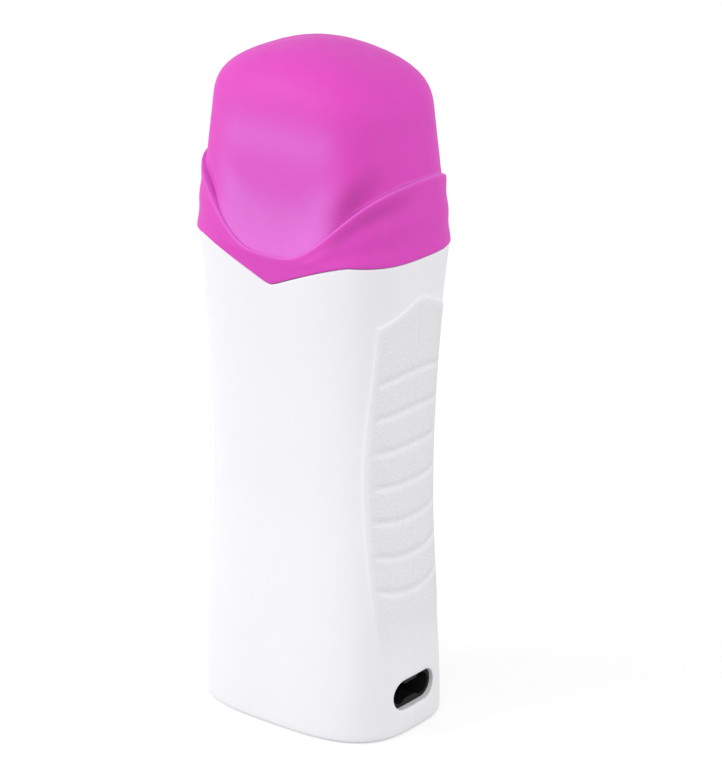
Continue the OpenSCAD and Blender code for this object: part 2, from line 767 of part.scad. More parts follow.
// Round wire through the given points, ended by flat faces
module wire(points, d = wire_d) {
    sides = 8;
    n = len(points);
    function unit(v) = v / norm(v);
    function aim(k) = unit(k == 0 ? points[1] - points[0]
        : k == n - 1 ? points[n - 1] - points[n - 2]
        : unit(points[k + 1] - points[k]) + unit(points[k] - points[k - 1]));
    function side_way(d) = unit(cross(d, abs(d[0]) > 0.9 ? [0, 1, 0] : [1, 0, 0]));
    rings = [for (k = [0 : n - 1]) let (way = aim(k), u = side_way(way), v = cross(way, u))
        [for (i = [0 : sides - 1]) let (a = 360 * i / sides)
            points[k] + d / 2 * (cos(a) * u + sin(a) * v)]];
    loft(rings);
}

// Ends of the wires, at the backs of the terminals
inlet_end_x = inlet_tab_x - tab_l;
live_start = [inlet_end_x, pin_pitch / 2, inlet_z];
neutral_start = [inlet_end_x, -pin_pitch / 2, inlet_z];
thermostat_end_z = thermostat_tab_z - tab_l;
electrode_end_z = electrode_tab_z - tab_l;
fuse_end_y = fuse_l / 2 + fuse_lead_l;

module live_wire() {
    color("#7a4a2c") wire([live_start, live_start + [-4, 0, 0], live_start + [-7, -1.5, 5],
        [thermostat_tab_x, 1, thermostat_end_z - 14], [thermostat_tab_x, 0, thermostat_end_z - 6],
        [thermostat_tab_x, 0, thermostat_end_z]]);
}

module neutral_wire() {
    x = electrode_tabs[1][1];
    color("#3f6fae") wire([neutral_start, neutral_start + [-6, 0, 0],
        neutral_start + [-11, -3, 5], [x, electrode_tab_y + 0.6, electrode_end_z - 22],
        [x, electrode_tab_y, electrode_end_z - 10], [x, electrode_tab_y, electrode_end_z]]);
}

// Two lengths that put the fuse between the thermostat and the upper electrode
module link_wire() {
    x = electrode_tabs[0][1];
    low = thermostat_end_z;
    color("#c8c4bc") {
        wire([[-thermostat_tab_x, 0, low], [-thermostat_tab_x, 0, low - 3], [-7, 4, low - 5.5],
            [fuse_x - 1, 9, low - 2], [fuse_x - 3, 13, low + 6], [fuse_x - 2, 13.4, fuse_z - 3],
            [fuse_x, fuse_end_y + 2.5, fuse_z], [fuse_x, fuse_end_y, fuse_z]]);
        wire([[fuse_x, -fuse_end_y, fuse_z], [fuse_x, -fuse_end_y - 3, fuse_z],
            [fuse_x + 1, -15, fuse_z - 5], [-4, -16.5, electrode_end_z - 5],
            [x - 4, -15.5, electrode_end_z - 7.5], [x, electrode_tab_y, electrode_end_z - 5],
            [x, electrode_tab_y, electrode_end_z]]);
    }
}

lamp_wire_d = 1.2;
module lamp_wires() {
    board_back = board_y - board_t - lamp_wire_d / 2;
    low = lens_z - board_h / 2 + 1.5;
    top_z = inlet_z + 1.5;
    end_x = inlet_end_x + 3;
    color("#b8bcc0") {
        wire([[4, board_back, low], [4, board_back - 0.6, low - 6], [8, 9.5, low - 17],
            [end_x - 1, 5, top_z + 8], [end_x, pin_pitch / 2, top_z + 4],
            [end_x, pin_pitch / 2, top_z]], lamp_wire_d);
        wire([[-4, board_back, low], [-5, board_back - 0.8, low - 6], [-7, 8, low - 13],
            [-5, -1, low - 23], [4, -3.5, top_z + 3.6], [end_x - 2, -pin_pitch / 2, top_z + 5.4],
            [end_x, -pin_pitch / 2, top_z + 4], [end_x, -pin_pitch / 2, top_z]], lamp_wire_d);
    }
}

// ---- screws and pilot lamp ----

module shell_screws() {
    head_h = 2.4;
    color(steel_grey) for (s = [-1, 1]) translate([s * screw_pitch / 2, screw_seat_y, screw_z])
        rotate([-90, 0, 0]) difference() {
            union() {
                cylinder(d = screw_head_d, h = head_h, $fn = 40);
                translate([0, 0, -screw_l]) cylinder(d = screw_d, h = screw_l + cut, $fn = 32);
            }
            for (a = [0, 90]) rotate([0, 0, a]) translate([-1.7, -0.35, head_h - 1.2])
                cube([3.4, 0.7, 2]);
        }
}

lamp_inner_y = rear_wall_y - shell_wall;

// Domed lens with a flange behind the rear wall
module lamp_lens() {
    color("#f2efe9") along_y(0, 0, lens_z) {
        translate([0, 0, lamp_inner_y - lens_flange_t - 0.2])
            cylinder(d = lens_d + 2.4, h = lens_flange_t, $fn = 32);
        translate([0, 0, lamp_inner_y - lens_flange_t])
            cylinder(d = lens_d, h = shell_wall + lens_flange_t - 0.3, $fn = 32);
        translate([0, 0, rear_wall_y - 0.3]) cylinder(d1 = lens_d, d2 = lens_d - 1, h = 0.6, $fn = 32);
    }
}

module lamp_led() {
    led_d = 3;
    color("#e03028") along_y(0, board_y, lens_z) {
        cylinder(d = led_d + 0.8, h = 1, $fn = 32);
        cylinder(d = led_d, h = led_h - led_d / 2, $fn = 32);
        translate([0, 0, led_h - led_d / 2]) sphere(d = led_d, $fn = 32);
    }
}

module lamp_board() {
    color("#2f6b45") translate([-board_w / 2, board_y - board_t, lens_z - board_h / 2])
        cube([board_w, board_t, board_h]);
    // series resistor
    color("#cdbb93") translate([-2, board_y, lens_z - board_h / 2 + 1]) cube([4, 1.4, 1.6]);
}

// ---- cartridge ----

neck_w = 40;
neck_d = 23;
bottle_neck_z = bottle_top_z + 7;
bottle_rim_z = neck_top_z + 0.6;
slab = 0.2;

module section_slab(w, d, z, h = slab) {
    translate([0, 0, z]) linear_extrude(h) polygon(outline(w, d));
}

// Form of the bottle, drawn in evenly by the given amount
module bottle_form(inset, z0, z1) {
    section_slab(bottle_w - 2 * inset, bottle_d - 2 * inset, z0, bottle_top_z - z0);
    hull() {
        section_slab(bottle_w - 2 * inset, bottle_d - 2 * inset, bottle_top_z - slab);
        section_slab(neck_w - 2 * inset, neck_d - 2 * inset, bottle_neck_z - slab);
    }
    section_slab(neck_w - 2 * inset, neck_d - 2 * inset, bottle_neck_z - slab, z1 - bottle_neck_z + slab);
}

module wax_bottle() {
    color(clear_plastic, 0.6) difference() {
        bottle_form(0, bottle_z, bottle_rim_z);
        bottle_form(bottle_wall, bottle_z + bottle_wall, bottle_rim_z + cut);
    }
}

module wax_fill() {
    fill = bottle_wall + 0.05;
    color(wax_amber)
        section_slab(bottle_w - 2 * fill, bottle_d - 2 * fill, bottle_z + fill, bottle_h - fill - 6);
}

head_z = collar_top_z + 0.2;
axis_z = collar_top_z + roller_rise;
ear_x = roller_l / 2 + roller_gap;
ear_out_x = ear_x + ear_t;
ear_r = journal_d / 2 + 3.4;
head_foot_h = 2;
head_top_z = axis_z - 4;
head_skirt_z = bottle_neck_z + 1;

// Frame that snaps on the bottle's neck and carries the roller between two ears
module roller_head() {
    skirt_w = neck_w + 2 * seat_gap;
    skirt_d = neck_d + 2 * seat_gap;
    skirt_wall = 1.4;
    color(white_plastic) difference() {
        union() {
            section_slab(head_w, head_d, head_z, head_foot_h);
            section_slab(skirt_w + 2 * skirt_wall, skirt_d + 2 * skirt_wall, head_skirt_z,
                         head_z - head_skirt_z + cut);
            hull() {
                section_slab(head_w - 2, head_d - 2, head_z + head_foot_h - slab);
                section_slab(2 * ear_out_x, roller_d + 3, head_top_z - slab);
            }
            for (s = [-1, 1]) hull() {
                translate([s < 0 ? -ear_out_x : ear_x, 0, axis_z]) rotate([0, 90, 0])
                    cylinder(r = ear_r, h = ear_t, $fn = 32);
                translate([s < 0 ? -ear_out_x : ear_x, -roller_d / 2 - 0.4, head_top_z - 6])
                    cube([ear_t, roller_d + 0.8, 1]);
            }
        }
        // seat for the roller
        translate([-ear_x, 0, axis_z]) rotate([0, 90, 0])
            cylinder(r = roller_d / 2 + roller_gap, h = 2 * ear_x, $fn = 64);
        translate([-ear_x, -roller_d / 2 - roller_gap, axis_z])
            cube([2 * ear_x, roller_d + 2 * roller_gap, roller_d]);
        // bores for the journals
        translate([-ear_out_x - cut, 0, axis_z]) rotate([0, 90, 0])
            cylinder(d = journal_d + 2 * journal_gap, h = 2 * ear_out_x + 2 * cut, $fn = 48);
        // socket for the bottle's neck, and the way for the wax to the roller
        section_slab(skirt_w, skirt_d, head_skirt_z - cut, bottle_rim_z + 0.2 - head_skirt_z + cut);
        section_slab(neck_w - 6, neck_d - 8, head_skirt_z, axis_z - head_skirt_z);
    }
}

// Roller with an end journal in each ear
module wax_roller() {
    color("#e9e7e4") translate([0, 0, axis_z]) rotate([0, 90, 0]) {
        translate([0, 0, -roller_l / 2]) cylinder(d = roller_d, h = roller_l, $fn = 64);
        translate([0, 0, -ear_out_x + 0.3]) cylinder(d = journal_d, h = 2 * ear_out_x - 0.6, $fn = 48);
    }
}

// ---- cap ----

edge_gap = 0.2;
crown_half = [crown_w / 2, crown_d / 2];
inner_step_in = cap_wall + lip_step;

function cap_edge(t) = cap_line(t) + edge_gap;

// Top of the cove that turns the lip's ledge into the crown's wall
function cove_top(t) = lip_line(t) + mix(cove_h, 3, narrow_share(t));

// Inward sink of the two soft folds, at share f of the skirt's height
function fold(t, f) = fold_depth * narrow_share(t) * pow(sin(360 * f), 2);

// One ring of the cap; place(t) gives a point's height and half-sizes
function skirt_ring(inset, lift) = [for (i = [0 : section_steps - 1])
    let (t = turn(i), z = cap_edge(t) + lift) section_point(t, skirt_half(z, inset), z)];

function fold_ring(f) = [for (i = [0 : section_steps - 1])
    let (t = turn(i), z = mix(cap_edge(t) + edge_round, lip_line(t), f))
        section_point(t, skirt_half(z, fold(t, f)), z)];

function lip_ring(inset, lift) = [for (i = [0 : section_steps - 1])
    let (t = turn(i), z = lip_line(t) + lift) section_point(t, skirt_half(z, inset), z)];

function cove_ring(f) = [for (i = [0 : section_steps - 1])
    let (t = turn(i), z = mix(lip_line(t) + lip_rise, cove_top(t), f))
        section_point(t, skirt_half(z, mix(lip_step, lip_floor, pow(1 - f, 2.2))), z)];

// Ring of the crown's wall between the cove and the dome
function wall_ring(f, inset) = [for (i = [0 : section_steps - 1])
    let (t = turn(i), z0 = cove_top(t),
         half = mix(skirt_half(z0, lip_step), crown_half, f) - [inset, inset])
        section_point(t, half, mix(z0, dome_z, f))];

// Angle above the springing where the dome's last ring lies, and that ring's half-width
dome_last = 86;
dome_flat = crown_half[0] * cos(dome_last);

// Drop of the low ridge at distance x from the middle; the last ring stays level
function ridge_drop(x) = ridge_fall *
    (norm([max(abs(x), dome_flat), ridge_round]) - norm([dome_flat, ridge_round]));

// Ring of the full-shouldered dome at share f of its rings; they lie closer near the springing
function dome_ring(f, inset) = let (a = dome_last * pow(f, 1.4), rise = cap_top_z - inset - dome_z,
    level = dome_z + rise * pow(sin(a) / sin(dome_last), 2 / dome_fullness),
    lean = inset + dome_lean * (level - dome_z), half = (crown_half - [lean, lean]) * cos(a))
    [for (i = [0 : section_steps - 1]) let (t = turn(i))
        section_point(t, half, level - f * ridge_drop(half[0] * unit_x(t)))];

edge_round = 0.5;
lip_rise = 0.5;
lip_floor = 0.9;

// Outside of the cap, from its lower edge up to the top of the dome
function cap_outside() = concat(
    [skirt_ring(edge_round * 0.7, 0)],
    [for (k = [0 : fold_steps]) fold_ring(k / fold_steps)],
    [lip_ring(0.25, 0.25), lip_ring(0.55, 0.2), lip_ring(lip_floor, lip_rise * 0.2)],
    [for (k = [1 : cove_steps]) cove_ring(k / cove_steps)],
    [for (k = [1 : wall_steps]) wall_ring(k / wall_steps, 0)],
    [for (k = [1 : dome_steps]) dome_ring(k / dome_steps, 0)]);

// Inside of the cap, from the top of the dome down to its lower edge
function cap_inside() = concat(
    [for (k = [inner_dome_steps : -1 : 1]) dome_ring(k / inner_dome_steps, cap_wall)],
    [for (f = [1, 0]) wall_ring(f, cap_wall)],
    [lip_ring(inner_step_in, 1.5), lip_ring(cap_wall, -1.2)],
    [skirt_ring(cap_wall, 0)]);

module cap() {
    color(cap_magenta, 0.9) loft(concat(cap_inside(), cap_outside()));
}

front_shell();
rear_shell();
neck_collar();
collar_gasket();
heater_sleeve();
heating_element();
brass_electrodes();
insulating_sheets();
clamp_plate();
clamp_screws();
thermostat();
thermal_fuse();
fuse_sleeve();
mains_inlet();
inlet_pins();
push_on_terminals();
shell_screws();
lamp_lens();
lamp_led();
lamp_board();
lamp_wires();
live_wire();
neutral_wire();
link_wire();
wax_bottle();
wax_fill();
roller_head();
wax_roller();
cap();
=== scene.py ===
# Handheld roll-on wax warmer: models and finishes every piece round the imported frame.
from math import atan2, copysign, cos, exp, hypot, pi, radians, sin

import bpy
from bpy.props import FloatProperty, FloatVectorProperty, IntProperty, PointerProperty
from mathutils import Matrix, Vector


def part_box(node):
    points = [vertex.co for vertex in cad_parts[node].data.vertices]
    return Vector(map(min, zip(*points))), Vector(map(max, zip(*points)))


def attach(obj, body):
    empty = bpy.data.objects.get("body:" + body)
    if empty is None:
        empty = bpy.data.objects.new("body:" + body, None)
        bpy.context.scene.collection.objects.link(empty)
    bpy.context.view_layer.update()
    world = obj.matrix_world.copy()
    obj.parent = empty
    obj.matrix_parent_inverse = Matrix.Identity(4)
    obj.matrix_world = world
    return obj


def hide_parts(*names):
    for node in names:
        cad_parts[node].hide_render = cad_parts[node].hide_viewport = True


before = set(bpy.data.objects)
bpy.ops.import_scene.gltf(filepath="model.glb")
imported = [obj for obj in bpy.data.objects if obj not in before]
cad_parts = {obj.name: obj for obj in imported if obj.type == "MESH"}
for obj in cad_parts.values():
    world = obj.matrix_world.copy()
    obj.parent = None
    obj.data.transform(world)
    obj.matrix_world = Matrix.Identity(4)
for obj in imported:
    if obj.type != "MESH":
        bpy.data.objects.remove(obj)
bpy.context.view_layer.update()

bl_info = {
    "name": "Handheld Roll-On Wax Warmer",
    "version": (1, 0, 0),
    "blender": (4, 5, 0),
    "location": "View3D > Sidebar > Wax Warmer",
    "description": "Models the shells and cap of a roll-on wax warmer and finishes its other parts",
    "category": "Object",
}

MM = 0.001

SHELL_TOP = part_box("front_shell")[1][2] / MM
CAP_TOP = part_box("cap")[1][2] / MM


# ---- settings


def length(name, description, value, low=0, high=1000):
    """A length that a user can change, given here in millimetres."""
    return FloatProperty(name=name, description=description, default=value * MM, min=low * MM,
                         max=high * MM, unit="LENGTH", precision=5)


def plain(name, description, value, low=0.0, high=10.0):
    """A number without a unit that a user can change."""
    return FloatProperty(name=name, description=description, default=value, min=low, max=high)


def tint(name, description, value):
    """A colour, as linear red, green and blue."""
    return FloatVectorProperty(name=name, description=description, default=value, size=3,
                               min=0.0, max=1.0, subtype="COLOR")


class WarmerBody(bpy.types.PropertyGroup):
    """Sizes of the two moulded body shells."""

    foot_width: length("Foot width", "Width at the foot", 73)
    foot_depth: length("Foot depth", "Depth at the foot", 52)
    waist_width: length("Waist width", "Width at the waist", 68.4)
    waist_depth: length("Waist depth", "Depth at the waist", 44.4)
    waist_height: length("Waist height", "Height of the waist", 78)
    rim_width: length("Rim width", "Width at the cap line", 76.2)
    rim_depth: length("Rim depth", "Depth at the cap line", 52.6)
    cap_line: length("Cap line", "Height of the cap line on the narrow sides", 153)
    dip: length("Cap line dip", "Drop to its point on each wide face", 9.6)
    dip_reach: length("Dip reach", "Half-width of the pointed drop", 26)
    neck_top: length("Neck top", "Height of the neck's rim", SHELL_TOP)
    squareness: plain("Squareness", "Power of the section; 2 is an ellipse", 3.1, 2, 6)
    wall: length("Wall", "Thickness of the shells", 2.4)
    foot_round: length("Foot rounding", "Rounding of the foot's edge", 1.4)
    seam: length("Parting line", "Half-width of the parting line", 0.1)


class WarmerGrip(bpy.types.PropertyGroup):
    """Sizes of the grip pads and their finger grooves."""

    width: length("Pad width", "Width of each grip pad", 33.4)
    top: length("Pad top", "Height of its upper corners", 134.5)
    peak: length("Pad peak", "Rise of its top edge to a point", 6.5)
    low: length("Pad low end", "Height where it runs out", 25)
    rise: length("Pad rise", "Its height over the body", 0.32)
    edge: length("Pad edge", "Width of its sloping edge", 0.8)
    grooves: IntProperty(name="Grooves", description="Number of finger grooves", default=7, min=0, max=9)
    pitch: length("Groove pitch", "Distance between finger grooves", 11.8)
    first: length("First groove", "Height of the lowest groove", 47)
    span: length("Groove span", "Length of a groove across the pad", 28.2)
    bow_top: length("Top bow", "Middle of the top groove above its ends", 1.8)
    bow_low: length("Low bow", "Middle of the lowest groove below its ends", 2.7)
    depth: length("Groove depth", "Depth of a groove", 0.5)
    half: length("Groove half-width", "Half-width of a groove", 2.0)


class WarmerCap(bpy.types.PropertyGroup):
    """Sizes of the domed cap."""

    top: length("Top", "Height of the top of the dome", CAP_TOP)
    dome: length("Dome", "Height where the dome starts", 191)
    fullness: plain("Dome fullness", "Fullness of its shoulders; 2 is an ellipse", 3.5, 2, 4)
    dome_lean: plain("Dome lean", "Inward lean of its walls", 0.08, 0, 0.2)
    ridge_fall: plain("Ridge fall", "Fall from the ridge to the narrow sides", 0.13, 0, 0.3)
    ridge_round: length("Ridge rounding", "Rounding of the low ridge", 5)
    crown_width: length("Crown width", "Width of the crown at the dome", 67)
    crown_depth: length("Crown depth", "Depth of the crown at the dome", 45.6)
    wall: length("Wall", "Thickness of the cap", 1.8)
    proud: length("Proud", "Its height over the body", 0.3)
    draft: plain("Draft", "Inward lean of the skirt", 0.07, 0, 1)
    lip_low: length("Lip low", "Height of the lip on the wide faces", 152.7)
    lip_high: length("Lip high", "Height of the lip on the narrow sides", 176.5)
    lip_step: length("Lip step", "Step in from the skirt to the crown", 1.4)
    cove: length("Cove", "Height of the cove on the wide faces", 15)
    hollow: length("Hollow", "Depth of the hollow in each wide face", 0.8)
    pinch: length("Pinch", "Depth of the pinch at the corners", 1.2)
    fold: length("Fold depth", "Depth of the folds in the skirt", 0.35)
    gap: length("Gap", "Gap between the lower edge and the body", 0.2)


class WarmerFinish(bpy.types.PropertyGroup):
    """Colours of the finishes."""

    shell: tint("Shell", "White of the body shells", (0.905, 0.90, 0.935))
    cap: tint("Cap", "Magenta of the cap", (0.735, 0.07, 0.53))
    # Its paler magenta is partly the thin wall's haze and partly painted highlight in the cove, under
    # the dome and along the lip.
    haze_and_highlight: tint("Haze", "Milky magenta where the cap's wall is thin", (0.75, 0.165, 0.67))
    wax: tint("Wax", "Colour of the wax", (0.72, 0.22, 0.38))
    inlet: tint("Inlet", "Black of the mains inlet", (0.002, 0.002, 0.0022))


class WarmerStage(bpy.types.PropertyGroup):
    """Camera and light."""

    azimuth: plain("Azimuth", "Turn from the wide face, in degrees", 38.48, -360, 360)
    elevation: plain("Elevation", "Height angle, in degrees", 20.39, -90, 90)
    distance: length("Distance", "Distance from its target", 1070, 100, 10000)
    target: length("Target height", "Height that the camera looks at", 100)
    lens: plain("Lens", "Focal length in millimetres", 162.5, 10, 500)
    shift_x: plain("Shift across", "Sideways shift of the view", 0.0487, -1, 1)
    shift_y: plain("Shift up", "Upward shift of the view", 0.0125, -1, 1)


# ---- small sums


def mix(a, b, share):
    return a + (b - a) * share


def share_of(value, low, high):
    """How far value lies from low to high, held between 0 and 1."""
    return min(1.0, max(0.0, (value - low) / (high - low)))


def ease(share):
    """Smooth start and end for a share from 0 to 1."""
    return share * share * (3 - 2 * share)


def fade(value, low, high):
    """Smooth rise from 0 at low to 1 at high."""
    return ease(share_of(value, low, high))


def bell(value, middle, width):
    """Smooth bump that is 1 at its middle."""
    return exp(-((value - middle) / width) ** 2)


def middle_of(low, high, axis):
    """Middle of a box along one axis."""
    return (low[axis] + high[axis]) / 2


def spread(low, high, steps):
    """Even steps from low to high, both included."""
    return [mix(low, high, k / steps) for k in range(steps + 1)]


# ---- modelling helpers


def clear_selection():
    """Leaves nothing selected."""
    if bpy.context.object and bpy.context.object.mode != "OBJECT":
        bpy.ops.object.mode_set(mode="OBJECT")
    bpy.ops.object.select_all(action="DESELECT")


def pick(piece):
    """Makes one object the only selected and active one."""
    clear_selection()
    piece.select_set(True)
    bpy.context.view_layer.objects.active = piece


def apply_modifier(piece, kind, **values):
    """Adds and applies a modifier."""
    pick(piece)
    modifier = piece.modifiers.new(kind.title(), kind)
    for key, value in values.items():
        setattr(modifier, key, value)
    bpy.ops.object.modifier_apply(modifier=modifier.name)


def smooth(piece, degrees):
    pick(piece)
    bpy.ops.object.shade_smooth_by_angle(angle=radians(degrees))


def edit(piece, operation, **values):
    """Runs an Edit Mode operator on a whole mesh."""
    pick(piece)
    bpy.ops.object.mode_set(mode="EDIT")
    bpy.ops.mesh.select_all(action="SELECT")
    getattr(bpy.ops.mesh, operation)(**values)
    bpy.ops.object.mode_set(mode="OBJECT")


def weld(piece):
    """Merges the corners that meet."""
    edit(piece, "remove_doubles", threshold=0.002 * MM)


def wrapped_solid(name, columns, rows, place):
    """Wraps a grid round a form and closes it; place(column, row) gives the point of each corner."""
    clear_selection()
    bpy.ops.mesh.primitive_grid_add(x_subdivisions=columns, y_subdivisions=rows, size=2)
    piece = bpy.context.object
    piece.name = piece.data.name = name
    points = [value for row in range(rows + 1) for column in range(columns + 1)
              for value in place(column, row)]
    piece.data.vertices.foreach_set("co", points)
    piece.data.update()
    weld(piece)
    edit(piece, "fill_holes", sides=0)
    edit(piece, "normals_make_consistent", inside=False)
    return piece


def settle(piece):
    """Puts an object's turn and place into its mesh."""
    pick(piece)
    bpy.ops.object.transform_apply(location=True, rotation=True, scale=True)


def rod(name, radius, x, z, near, far, sides=48):
    """A round bar that runs along Y from near to far."""
    clear_selection()
    start, end = Vector((x, near, z)), Vector((x, far, z))
    along = end - start
    bpy.ops.mesh.primitive_cylinder_add(vertices=sides, radius=radius, depth=along.length,
                                        location=(start + end) / 2,
                                        rotation=along.to_track_quat("Z", "Y").to_euler())
    piece = bpy.context.object
    piece.name = piece.data.name = name
    settle(piece)
    return piece


def cut_with(piece, cutter, operation="DIFFERENCE"):
    """Cuts or joins with another object and deletes that."""
    apply_modifier(piece, "BOOLEAN", object=cutter, operation=operation, solver="EXACT")
    bpy.data.objects.remove(cutter, do_unlink=True)


def dress(piece, body, finish, node):
    """Gives a finished piece its material and its body, and hides the CAD node that it stands for."""
    piece.data.materials.clear()
    piece.data.materials.append(finish.material)
    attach(piece, body)
    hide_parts(node)


def soften(node, name, body, finish, width, segments=2, degrees=30):
    """Dresses a merged copy of a CAD node whose sharp edges are rounded."""
    clear_selection()
    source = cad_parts[node]
    piece = bpy.data.objects.new(name, source.data.copy())
    bpy.context.scene.collection.objects.link(piece)
    piece.matrix_world = source.matrix_world
    settle(piece)
    weld(piece)
    edit(piece, "dissolve_limited", angle_limit=radians(1))
    apply_modifier(piece, "BEVEL", width=width * MM, segments=segments, limit_method="ANGLE",
                   angle_limit=radians(degrees), use_clamp_overlap=True)
    smooth(piece, degrees)
    dress(piece, body, finish, node)


def give_finish(finish, *nodes):
    """Puts a better material on CAD nodes that are shown as they are."""
    for node in nodes:
        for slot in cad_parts[node].material_slots:
            slot.material = finish.material


# ---- finishes


def add_node(tree, kind, inputs=None, output=0, **settings):
    """Adds a shader node and gives one output; inputs are values or sockets by name or number."""
    made = tree.nodes.new("ShaderNode" + kind)
    for key, value in settings.items():
        setattr(made, key, value)
    for key, value in (inputs or {}).items():
        if isinstance(value, bpy.types.NodeSocket):
            tree.links.new(value, made.inputs[key])
        else:
            made.inputs[key].default_value = value
    return made.outputs[output]


class Finish:
    """A material round one Principled shader, with patterns on Object coordinates in millimetres."""

    def __init__(self, name, roughness=0.5, **values):
        self.material = bpy.data.materials.new(name)
        self.material.use_nodes = True
        self.tree = self.material.node_tree
        self.shader = self.tree.nodes["Principled BSDF"]
        self.shader.inputs["Roughness"].default_value = roughness
        for key, value in values.items():
            self.shader.inputs[key.replace("_", " ")].default_value = value
        self.place = self.add("TexCoord", output="Object")
        self.normal = None

    def add(self, kind, inputs=None, output=0, **settings):
        return add_node(self.tree, kind, inputs, output, **settings)

    def stretched(self, scale):
        """Coordinates with their own scale along each axis."""
        return self.add("Mapping", {"Vector": self.place, "Scale": scale})

    def noise(self, grain, detail=3.0, vector=None):
        """Noise whose features are about one grain across."""
        return self.add("TexNoise", {"Vector": vector or self.place, "Scale": 1 / (grain * MM),
                                     "Detail": detail, "Roughness": 0.55})

    def pebbles(self, grain):
        return self.add("TexVoronoi", {"Vector": self.place, "Scale": 1 / (grain * MM)}, "Distance",
                        feature="SMOOTH_F1")

    def attribute(self, name):
        return self.add("Attribute", output="Fac", attribute_name=name)

    def remap(self, value, low, high, start=0.3, end=0.7):
        """Turns a pattern's range into low to high."""
        return self.add("MapRange", {"Value": value, "From Min": start, "From Max": end,
                                     "To Min": low, "To Max": high})

    def blend(self, share, a, b):
        """Mixes two colours, or two sockets that give colours."""
        return self.add("Mix", {0: share, 6: a, 7: b}, 2, data_type="RGBA")

    def times(self, a, b):
        return self.add("Math", {0: a, 1: b}, operation="MULTIPLY")

    def feed(self, name, value):
        """Drives an input of the shader."""
        self.tree.links.new(value, self.shader.inputs[name])

    def colour(self, value):
        self.feed("Base Color", value)

    def rough(self, value):
        self.feed("Roughness", value)

    def clouded(self, colour, grain, detail, dark, light):
        """Soft clouds between a darker and a lighter shade of a colour."""
        cloud = self.remap(self.noise(grain, detail), 0, 1)
        self.colour(self.blend(cloud, shade(colour, dark), shade(colour, light)))

    def uneven(self, grain, detail, low, high):
        """Gloss that wanders between two values of roughness."""
        self.rough(self.remap(self.noise(grain, detail), low, high))

    def bump(self, height, depth):
        """Adds relief of the given depth on top of any before it."""
        inputs = {"Height": height, "Strength": 1.0, "Distance": depth * MM}
        if self.normal:
            inputs["Normal"] = self.normal
        self.normal = self.add("Bump", inputs)
        self.feed("Normal", self.normal)


def shade(colour, factor):
    """A colour made lighter or darker, with its alpha."""
    return tuple(min(1.0, part * factor) for part in colour[:3]) + (1.0,)


def moulded(name, colour, roughness, grain=0.4, relief=0.012, swing=0.03, **values):
    """Moulded plastic: a fine eroded skin, slight clouding of the colour and uneven gloss."""
    finish = Finish(name, roughness, **values)
    finish.clouded(colour, 18, 4, 1 - swing, 1 + swing)
    finish.uneven(5, 5, roughness - 0.05, roughness + 0.06)
    finish.bump(finish.noise(grain, 2), relief)
    return finish


def metal(name, colour, roughness, grain=(0.3, 0.3, 9), relief=0.004):
    """Metal with fine drawing lines along its longest grain and a few darker clouds."""
    finish = Finish(name, roughness, Metallic=1.0)
    lines = finish.noise(1000, 4, finish.stretched(tuple(1 / (size * MM) for size in grain)))
    finish.clouded(colour, 6, 4, 0.86, 1.05)
    finish.rough(finish.remap(lines, roughness - 0.08, roughness + 0.1))
    finish.bump(lines, relief)
    return finish


def braided(name, colour, pitch=1.2):
    """Braided sleeving: crossing bands of strands."""
    finish = Finish(name, 0.75)
    bands = []
    for lean in (1, -1):
        wave = {"Vector": finish.stretched((1, 1, lean)), "Scale": 0.5 / (pitch * MM), "Distortion": 0.6}
        bands.append(finish.add("TexWave", wave, "Fac", bands_direction="DIAGONAL"))
    weave = finish.times(*bands)
    finish.colour(finish.blend(finish.remap(weave, 0, 1, 0, 0.6), shade(colour, 0.7), shade(colour, 1)))
    finish.bump(weave, 0.06)
    return finish


def shell_finish(colours):
    """White shells: satin mould skin, and a finer pebbled grain on the grip pads."""
    finish = Finish("White satin shell", 0.42, Specular_IOR_Level=0.45)
    white = colours.shell
    cloud = finish.remap(finish.noise(30, 3), 0, 1)
    plain_skin = finish.blend(cloud, shade(white, 0.99), shade(white, 1.01))
    grip = finish.attribute("grip")
    pebbles = finish.pebbles(0.62)
    grain = finish.blend(finish.remap(pebbles, 0, 1, 0.1, 0.6), shade(white, 0.985), shade(white, 0.94))
    finish.colour(finish.blend(grip, plain_skin, grain))
    skin = finish.remap(finish.noise(4, 5), 0.38, 0.46)
    finish.rough(finish.remap(grip, skin, 0.68, 0, 1))
    finish.bump(finish.noise(0.35, 2), 0.006)
    finish.bump(finish.times(pebbles, grip), 0.16)
    return finish


def cap_finish(colours):
    """Frosted magenta plastic: light spreads inside its wall. A paler milky magenta, partly the thin
    wall's haze and partly painted highlight, lies in the cove, in a band under the dome and along the
    lip; a darker copy paints shade at two opposite corners by the lip.
    """
    finish = Finish("Frosted magenta plastic", 0.55, Subsurface_Weight=0.35, Subsurface_Scale=4 * MM,
                    Subsurface_Radius=(1.0, 0.35, 0.9), Specular_IOR_Level=0.25)
    cloud = finish.remap(finish.noise(22, 3), 0.72, 1)
    tinted = finish.blend(cloud, shade(colours.cap, 0.94), shade(colours.cap, 1.02))
    # Paler milky magenta: partly the thin wall's haze, partly painted highlight in the cove, under the
    # dome and along the lip.
    haze_and_highlight = finish.times(finish.attribute("haze_and_highlight"), cloud)
    milky = finish.blend(haze_and_highlight, tinted, shade(colours.haze_and_highlight, 1))
    # Painted shade: a darker copy of the magenta at two opposite corners, above and below the lip.
    deep = finish.times(finish.attribute("deep"), 0.7)
    finish.colour(finish.blend(deep, milky, shade(colours.cap, 0.6)))
    finish.uneven(6, 5, 0.5, 0.6)
    finish.bump(finish.noise(0.5, 2), 0.01)
    return finish


